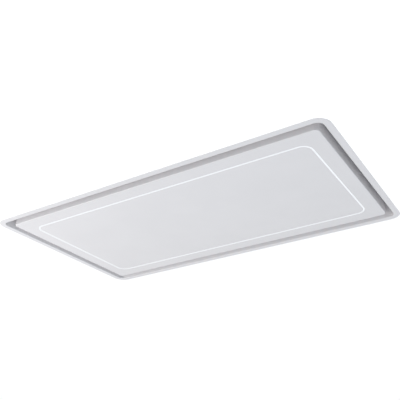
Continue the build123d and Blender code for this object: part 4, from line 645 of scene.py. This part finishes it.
def merged_copy(*nodes):
    """Return the CAD nodes as one bmesh with merged points and whole flats."""
    bm = bmesh.new()
    for name in nodes:
        bm.from_mesh(frame["nodes"][name].data)
    bmesh.ops.remove_doubles(bm, verts=bm.verts, dist=JOIN)
    bmesh.ops.dissolve_limit(bm, angle_limit=FLAT_ANGLE, verts=bm.verts, edges=bm.edges)
    return bm


for width, names in EDGE_BREAKS.items():
    for name in names:
        nodes = [PAIRS[name] + "_" + side for side in SIDES] if name in PAIRS else [name]
        break_edges(add_piece(name + "_finished", merged_copy(*nodes), *nodes), width * MM)
for side in SIDES:
    for part, width in EDGE_BREAKS_EACH_SIDE.items():
        name = part + "_" + side
        break_edges(add_piece(name + "_finished", merged_copy(name), name), width * MM)

# %% [markdown]
# ## The walls of the pan
#
# The housing above the ceiling is hot-dip galvanised sheet: a shallow pan round the recess, and a
# tall box on it that holds the blower. The pan's walls are one bent strip, so they are swept like
# the frame. The strip stands upright, so the way that its faces look is judged from its right side.

# %% Pan walls
HOUSING_SHEET = 1.2 * MM
PAN_CORNER_R = 18.7 * MM
PAN_EDGE_BREAK = 0.25 * MM


def look_out(bm, axis):
    """Point the faces of an open tube outwards, judged by the one furthest along an axis."""
    bmesh.ops.recalc_face_normals(bm, faces=bm.faces)
    furthest = max(bm.faces, key=lambda face: face.calc_center_median()[axis])
    if furthest.normal[axis] < 0:
        bmesh.ops.reverse_faces(bm, faces=bm.faces)


walls_low, walls_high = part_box("plenum_walls")
pan_corner = (walls_high.x - PAN_CORNER_R, walls_high.y - PAN_CORNER_R)
bm = bmesh.new()
sweep_round(bm, [(PAN_CORNER_R, walls_low.z), (PAN_CORNER_R, walls_high.z)], pan_corner)
look_out(bm, 0)
pan_walls = add_piece("pan_walls", bm, "plenum_walls")
thicken(pan_walls, HOUSING_SHEET)
break_edges(pan_walls, PAN_EDGE_BREAK)

# %% [markdown]
# ## Pressed sheets: pan top, motor box and back cover
#
# These large flats are stiffened by pressed ribs. A press can't leave sharp edges, so the ribs'
# edges get a larger radius than those of the cut sheet, and the folds at the top of pan and box a
# larger one still. The CAD model has the ribs already, and their slanted flanks tell them apart: a
# rib's edge turns by less than 75 degrees, a cut edge by 90.

# %% Pressed sheets
PRESSED_R = 1.1 * MM
FOLD_R = 1.8 * MM
ROUND_STEPS = 3
RIB_TURNS = (radians(45), radians(75))
RIB_HEIGHT = 2.5 * MM
BOX_FLANGE = 12 * MM
BOX_CORNER_R = 8 * MM


def round_edges(bm, edges, radius):
    """Bevel the given edges to a radius."""
    bmesh.ops.bevel(bm, geom=edges, offset=radius, segments=ROUND_STEPS, profile=0.5,
                    affect="EDGES", material=-1, clamp_overlap=True)


def rib_edges(bm):
    """Return the edges of the pressed ribs, which turn less than the cut edges do."""
    return [edge for edge in bm.edges
            if edge.is_manifold and RIB_TURNS[0] < edge.calc_face_angle() < RIB_TURNS[1]]


box_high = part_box("motor_box")[1]
box_half = [side - BOX_FLANGE for side in box_high.xy]
box_corner = [side - BOX_CORNER_R for side in box_half]
box_top = box_high.z - RIB_HEIGHT
ledge = walls_high.z + HOUSING_SHEET
for name, corner, reach, level in (("plenum_top", pan_corner, PAN_CORNER_R, ledge),
                                   ("motor_box", box_corner, BOX_CORNER_R, box_top),
                                   ("panel_back_cover", None, None, None)):
    bm = merged_copy(name)
    round_edges(bm, rib_edges(bm), PRESSED_R)
    if corner:
        round_edges(bm, outline_at(bm, corner, reach, level), FOLD_R)
    flat_shading(add_piece(name + "_pressed", bm, name))

# %% [markdown]
# ## Turned shapes and how to place them
#
# Rivets, screws and the duct collar are round about one axis. Each is a wire of points that `spin`
# turns once about Z. A primitive cylinder would need its ends shaped afterwards, and a wire has
# them from the start. A small shape that repeats is made once, at the origin, and stamped wherever
# a matrix puts it.

# %% Spinning and stamping
def spin_profile(profile, steps, bends=()):
    """Return a bmesh of (radius, height) points turned about Z, with (index, radius) bends."""
    bm = bmesh.new()
    wire = [bm.verts.new((radius, 0, height)) for radius, height in profile]
    for pair in zip(wire, wire[1:]):
        bm.edges.new(pair)
    for index, radius in bends:
        bmesh.ops.bevel(bm, geom=[wire[index]], offset=radius, segments=ROUND_STEPS, profile=0.5,
                        affect="VERTICES", material=-1)
    bmesh.ops.spin(bm, geom=bm.verts[:] + bm.edges[:], cent=(0, 0, 0), axis=(0, 0, 1),
                   angle=2 * pi, steps=steps, use_merge=True)
    bmesh.ops.remove_doubles(bm, verts=bm.verts, dist=JOIN)
    bmesh.ops.recalc_face_normals(bm, faces=bm.faces)
    return bm


def aim(place, direction):
    """Return the matrix that carries the origin to a place and Z to a direction."""
    turn = Vector(direction).to_track_quat("Z", "Y").to_matrix().to_4x4()
    return Matrix.Translation(place) @ turn


def stamp(bm, pattern, matrices):
    """Add a copy of a pattern bmesh at each matrix."""
    carrier = bpy.data.meshes.new("pattern")
    for matrix in matrices:
        copied = pattern.copy()
        bmesh.ops.transform(copied, matrix=matrix, verts=copied.verts)
        copied.to_mesh(carrier)
        copied.free()
        bm.from_mesh(carrier)
    bpy.data.meshes.remove(carrier)


# %% [markdown]
# ## Laps and rivets
#
# A tinsmith closes the corners of the box with laps, each held by a row of blind rivets. A lap is a
# flat strip with broken edges, made from a cube. A rivet is a small dome, spun from a rounded wire
# and sunk a hair into the lap, so that its closed underside never shows.

# %% Corner laps and rivets
FASTENER_STEPS = 12
LAP_WIDTH = 15 * MM
LAP_SHEET = 0.8 * MM
LAP_INSET = 2 * MM
RIVETS = 5
RIVET_R = 2.3 * MM
RIVET_RISE = 0.55 * RIVET_R
RIVET_ROUND = 0.5 * RIVET_R
RIVET_SUNK = 0.1 * MM

lap_height = box_top - ledge - 2 * BOX_CORNER_R
lap_middle = (box_top + ledge) / 2
lap_x = box_corner[0] - LAP_INSET - LAP_WIDTH / 2
lap_size = Matrix.Diagonal((LAP_WIDTH, LAP_SHEET, lap_height, 1))
rivet_levels = [lap_middle + lap_height * ((step + 0.5) / RIVETS - 0.5) for step in range(RIVETS)]
rivet = spin_profile([(0, -RIVET_SUNK), (RIVET_R, -RIVET_SUNK), (RIVET_R, RIVET_RISE),
                      (0, RIVET_RISE)], FASTENER_STEPS, bends=((2, RIVET_ROUND),))
for side_name, side in (("front", -1), ("rear", 1)):
    bm = bmesh.new()
    for end in (-1, 1):
        place = Matrix.Translation((end * lap_x, side * (box_half[1] + LAP_SHEET / 2), lap_middle))
        bmesh.ops.create_cube(bm, size=1.0, matrix=place @ lap_size)
    bmesh.ops.bevel(bm, geom=bm.edges[:], offset=LAP_SHEET / 3, segments=2, profile=0.5,
                    affect="EDGES", material=-1)
    stamp(bm, rivet, [aim((end * lap_x, side * (box_half[1] + LAP_SHEET), level), (0, side, 0))
                      for end in (-1, 1) for level in rivet_levels])
    add_piece("box_laps_" + side_name, bm, slot="galvanised", body="hood")

# %% [markdown]
# ## The duct collar
#
# The collar is a rolled tube with one raised bead, which stops the duct when it is pushed on. It is
# spun from its profile as well. Three bends round the bead, because it is rolled into the sheet and
# not cut. The tube is spun about Z and then laid along X, where the outlet points.

# %% Duct collar
COLLAR_SHEET = 1.2 * MM
COLLAR_STEPS = 72
BEAD_FROM_MOUTH = 38 * MM
BEAD_HALF = 4.5 * MM
BEAD_RISE = 2.4 * MM
BEAD_TOP_R = 2.2 * MM
BEAD_FOOT_R = 1.6 * MM

collar_low, collar_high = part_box("outlet_collar")
collar_r = (collar_high.z - collar_low.z) / 2
run = collar_high.x - collar_low.x
bead = run - BEAD_FROM_MOUTH
bm = spin_profile([(collar_r, 0), (collar_r, bead - BEAD_HALF), (collar_r + BEAD_RISE, bead),
                   (collar_r, bead + BEAD_HALF), (collar_r, run)], COLLAR_STEPS,
                  bends=((3, BEAD_FOOT_R), (2, BEAD_TOP_R), (1, BEAD_FOOT_R)))
collar_middle = (collar_low + collar_high) / 2
bmesh.ops.transform(bm, matrix=aim((collar_low.x, collar_middle.y, collar_middle.z), (1, 0, 0)),
                    verts=bm.verts)
look_out(bm, 2)
thicken(add_piece("duct_collar", bm, "outlet_collar"), COLLAR_SHEET)
print("collar radius in mm:", round(collar_r / MM, 2))

# %% [markdown]
# ## Screws
#
# The CAD model draws each screw as two plain cylinders. The real ones are pan-head sheet metal
# screws with a cross recess. One screw is made well and stamped at every place: the head is spun, a
# grid of three by three cells closes its top, and the five cells of the cross are pressed in. The
# place and the direction come from the CAD piece itself: in each loose island the largest face is
# the flat top of the head.

# %% Pan-head screws
HEAD_R = 3.8 * MM
HEAD_HEIGHT = 2.0 * MM
# The dome of the head, as shares of its radius and of its height below the top.
HEAD_DOME = ((0.62, 0), (0.9, 0.28), (1, 0.65), (1, 1))
SHANK_R = 2.0 * MM
SHANK_SHOWS = 2.4 * MM
RECESS_CELL = 1.2 * MM
RECESS_DEEP = 1.1 * MM
RECESS_DRAFT = 0.12 * MM


def cross_screw():
    """Return a pan-head screw whose head's top lies at the origin, facing +Z."""
    head = [(HEAD_R * out, -HEAD_HEIGHT * down) for out, down in HEAD_DOME]
    shank = [(SHANK_R, -HEAD_HEIGHT), (SHANK_R, -HEAD_HEIGHT - SHANK_SHOWS)]
    bm = spin_profile(head + shank, FASTENER_STEPS)
    rim = [edge for edge in bm.edges if all(abs(vert.co.z) < JOIN for vert in edge.verts)]
    grid = bmesh.ops.create_grid(bm, x_segments=3, y_segments=3, size=1.5 * RECESS_CELL)
    cells = once(face for vert in grid["verts"] for face in vert.link_faces)
    border = [edge for edge in once(edge for face in cells for edge in face.edges)
              if edge.is_boundary]
    bmesh.ops.bridge_loops(bm, edges=rim + border)
    cross = [face for face in cells
             if min(abs(way) for way in face.calc_center_median().xy) < RECESS_CELL / 2]
    bmesh.ops.inset_region(bm, faces=cross, thickness=RECESS_DRAFT, depth=-RECESS_DEEP,
                           use_even_offset=True)
    bmesh.ops.holes_fill(bm, edges=bm.edges[:])
    bmesh.ops.recalc_face_normals(bm, faces=bm.faces)
    return bm


def islands(bm):
    """Return the loose parts of a bmesh, each as a list of its faces."""
    seen = set()
    found = []
    for first in bm.faces:
        if first in seen:
            continue
        seen.add(first)
        grown = [first]
        for face in grown:
            near = once(other for edge in face.edges for other in edge.link_faces
                        if other not in seen)
            seen.update(near)
            grown.extend(near)
        found.append(grown)
    return found


screw = cross_screw()
for name in ("hood_screws", "panel_screws"):
    plain = merged_copy(name)
    heads = [max(island, key=lambda face: face.calc_area()) for island in islands(plain)]
    places = [aim(head.calc_center_median_weighted(), head.normal) for head in heads]
    bm = bmesh.new()
    stamp(bm, screw, places)
    plain.free()
    add_piece(name + "_cross_recessed", bm, name)
    print(name, len(places), "screws")

# %% [markdown]
# ## Springs
#
# A coil spring is a circle swept along a helix. A curve with a round bevel could do it, but it has
# to be made a mesh in the end. `spin` makes the mesh at once: `dvec` moves the section a little
# along the axis at each step. The two latch springs shorten as the latch slides, and each gets a
# mesh of its own. The damper's spring sits on its spindle and stays as it is.

# %% Coil springs
SPRING_WIRE = 0.8 * MM
WIRE_SIDES = 8
COIL_STEPS = 14
LATCH_TURNS = 7
DAMPER_TURNS = 10


def coil(middle, length, radius, turns):
    """Return a closed coil along Y about its middle point."""
    bm = bmesh.new()
    start = Vector(middle) + Vector((radius, -(length - SPRING_WIRE) / 2, 0))
    made = bmesh.ops.create_circle(bm, radius=SPRING_WIRE / 2, segments=WIRE_SIDES,
                                   matrix=Matrix.Translation(start))
    step = (length - SPRING_WIRE) / (turns * COIL_STEPS)
    bmesh.ops.spin(bm, geom=made["verts"] + bm.edges[:], cent=middle, axis=(0, 1, 0),
                   dvec=(0, step, 0), angle=2 * pi * turns, steps=turns * COIL_STEPS)
    bmesh.ops.holes_fill(bm, edges=bm.edges[:])
    bmesh.ops.recalc_face_normals(bm, faces=bm.faces)
    return bm


for side in SIDES:
    low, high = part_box("latch_spring_" + side)
    radius = (high.z - low.z - SPRING_WIRE) / 2
    spring = add_piece("latch_coil_" + side,
                       coil((low + high) / 2, high.y - low.y, radius, LATCH_TURNS),
                       "latch_spring_" + side)
    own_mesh(spring)

low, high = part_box("damper_spring")
middle = (low + high) / 2
bm = coil(middle, high.z - low.z, (high.x - low.x - SPRING_WIRE) / 2, DAMPER_TURNS)
bmesh.ops.rotate(bm, verts=bm.verts, cent=middle, matrix=Matrix.Rotation(pi / 2, 3, "X"))
add_piece("damper_coil", bm, "damper_spring")

# %% [markdown]
# ## Expanded metal over the filters
#
# Each filter is a pack of pleated mesh behind a screen of expanded metal: sheet that is slit and
# pulled open into diamonds. A picture of holes would stay flat when the panel hangs open, so the
# strands are real. A grid of cells is poked, and the grid's own edges are dissolved, which leaves
# diamonds. `wireframe` turns their edges into strands. A window is left open for the latch.

# %% Filter screens
DIAMOND_LONG = 15 * MM
DIAMOND_SHORT = 9 * MM
STRAND = 1.3 * MM
SCREEN_LEVEL = -242.4 * MM
WINDOW_HALF = 18 * MM
WINDOW_DEPTH = 37.5 * MM

for side in SIDES:
    low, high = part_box("filter_mesh_" + side)
    long_side, short_side = high.x - low.x, high.y - low.y
    columns, rows = round(long_side / DIAMOND_LONG), round(short_side / DIAMOND_SHORT)
    middle = (low + high) / 2
    place = Matrix.Translation((middle.x, middle.y, SCREEN_LEVEL))
    bm = bmesh.new()
    bmesh.ops.create_grid(bm, x_segments=columns, y_segments=rows, size=0.5,
                          matrix=place @ Matrix.Diagonal((long_side, short_side, 1, 1)))
    sheet_edges = [edge for edge in bm.edges if not edge.is_boundary]
    bmesh.ops.poke(bm, faces=bm.faces)
    bmesh.ops.dissolve_edges(bm, edges=sheet_edges)
    window = [face for face in bm.faces if abs(face.calc_center_median().x - middle.x) < WINDOW_HALF
              and face.calc_center_median().y < low.y + WINDOW_DEPTH]
    bmesh.ops.delete(bm, geom=window, context="FACES")
    bmesh.ops.wireframe(bm, faces=bm.faces, thickness=STRAND, offset=0.0, use_replace=True,
                        use_boundary=True, use_even_offset=True)
    bmesh.ops.recalc_face_normals(bm, faces=bm.faces)
    add_piece("filter_screen_" + side, bm, slot="filter_mesh", body="hood")

# %% [markdown]
# ## The ceiling board
#
# The photograph shows the hood on plain white. A ceiling board lies level with the back of the
# frame's flange. It is one more sweep: its cut-out follows the flange with a little play, so that
# the whole hood shows from above too. The board is white to the camera and to reflections through
# Light Path, never by more light on the hood, and it still takes the hood's shadow.

# %% Ceiling board
BOARD_REACH = 4.0
BOARD_LIFT = 0.68
BOARD_GRAIN = 25 * MM
CUT_OUT_PLAY = 0.3 * MM
board_level = flange_high.z


def seen_as_background(tree):
    """Return a factor that is 1 for camera, mirror and see-through rays, and 0 for soft light."""
    rays = node(tree, "LightPath")
    straight = node(tree, "Math", {0: rays.outputs["Is Camera Ray"],
                                   1: rays.outputs["Is Glossy Ray"]}, operation="MAXIMUM")
    return node(tree, "Math", {0: straight.outputs[0], 1: rays.outputs["Is Transmission Ray"]},
                operation="MAXIMUM").outputs[0]


def ceiling_paint(name):
    """White board that shows as background but still takes the hood's soft shadow."""
    material, tree, place = blank_material(name)
    grain = node(tree, "TexNoise", {"Vector": place, "Scale": 1 / BOARD_GRAIN})
    tone = node(tree, "Mix", {"Factor": grain.outputs["Fac"], MIX_A: linear("#F4F4F4"),
                              MIX_B: linear("#F1F1F1")}, data_type="RGBA")
    lit = node(tree, "BsdfDiffuse", {"Color": tone.outputs[MIX_OUT]})
    half_lit = node(tree, "BsdfDiffuse", {"Color": linear("#D0D0D0")})
    lift = node(tree, "Emission", {"Color": WHITE, "Strength": BOARD_LIFT})
    shown = node(tree, "AddShader", {0: half_lit.outputs[0], 1: lift.outputs[0]})
    finish_surface(tree, node(tree, "MixShader", {0: seen_as_background(tree), 1: lit.outputs[0],
                                                  2: shown.outputs[0]}))
    return material


bm = bmesh.new()
sweep_round(bm, [(FRAME_CORNER_R + CUT_OUT_PLAY, board_level), (BOARD_REACH, board_level)],
            frame_corner)
look_down(bm)
board_mesh = bpy.data.meshes.new("ceiling_board")
bm.to_mesh(board_mesh)
bm.free()
ceiling_board = bpy.data.objects.new("ceiling_board", board_mesh)
bpy.context.scene.collection.objects.link(ceiling_board)
board_mesh.materials.append(ceiling_paint("white_ceiling_board"))
print("ceiling board at", round(board_level / MM, 1), "mm")

# %% [markdown]
# ## The room
#
# Light from the whole room fills the shadows, and the world gives it. It is a little brighter and
# cooler towards +X than towards -X, which brings some of the photograph's cool grey into the slot.
# An image of a real room would put its own windows into every bright sheet, so two plain tints do
# it. Seen straight, the world is white.

# %% World
ROOM_LIGHT = 0.77
TINT_FROM, TINT_TO = -0.7, 0.5

world = bpy.data.worlds.new("white_room")
bpy.context.scene.world = world
world.use_nodes = True
world.node_tree.nodes.clear()
tree = world.node_tree
toward = node(tree, "SeparateXYZ", {0: node(tree, "TexCoord").outputs["Generated"]})
across = node(tree, "MapRange", {"Value": toward.outputs["X"], "From Min": TINT_FROM,
                                 "From Max": TINT_TO})
tint = node(tree, "Mix", {"Factor": across.outputs[0], MIX_A: linear("#C6C4C4"),
                          MIX_B: linear("#DDE4E9")}, data_type="RGBA")
soft = node(tree, "Background", {"Color": tint.outputs[MIX_OUT], "Strength": ROOM_LIGHT})
white = node(tree, "Background", {"Color": WHITE, "Strength": 1.0})
mixed = node(tree, "MixShader", {0: seen_as_background(tree), 1: soft.outputs[0],
                                 2: white.outputs[0]})
node(tree, "OutputWorld", {"Surface": mixed.outputs[0]})
print("room light:", ROOM_LIGHT)

# %% [markdown]
# ## Lamps
#
# A photographer lights such sheet metal with large soft boxes, and square area lamps do the same
# here. The left one makes the panel brighter towards its left end. The right one is smaller and
# cooler, and shines up into the slot at the near short end. The third hangs above the ceiling and
# lights the housing for views from above. A sun lamp would be simpler, but its even light would
# leave the large flats without any change of tone.

# %% Lamps
# Name, place, target point, side length in metres, power in watts and colour.
LAMPS = (
    ("lamp_left", (-1.1, -1.0, -1.2), (-0.2, 0, -0.3), 1.2, 12.4, "#FFFFFF"),
    ("lamp_right", (1.1, -0.4, -1.9), (0.4, 0, -0.3), 0.5, 4.6, "#DCEBF8"),
    ("lamp_above", (-0.7, -0.8, 2.0), (0, 0, -0.1), 1.8, 15.0, "#FFFFFF"),
)

for name, place, target, size, power, colour in LAMPS:
    lamp_data = bpy.data.lights.new(name, "AREA")
    lamp_data.size = size
    lamp_data.energy = power
    lamp_data.color = linear(colour)[:3]
    lamp = bpy.data.objects.new(name, lamp_data)
    lamp.location = place
    lamp.rotation_euler = (Vector(target) - Vector(place)).to_track_quat("-Z", "Y").to_euler()
    lamp.visible_camera = False
    bpy.context.scene.collection.objects.link(lamp)
print("lamps:", len(LAMPS))
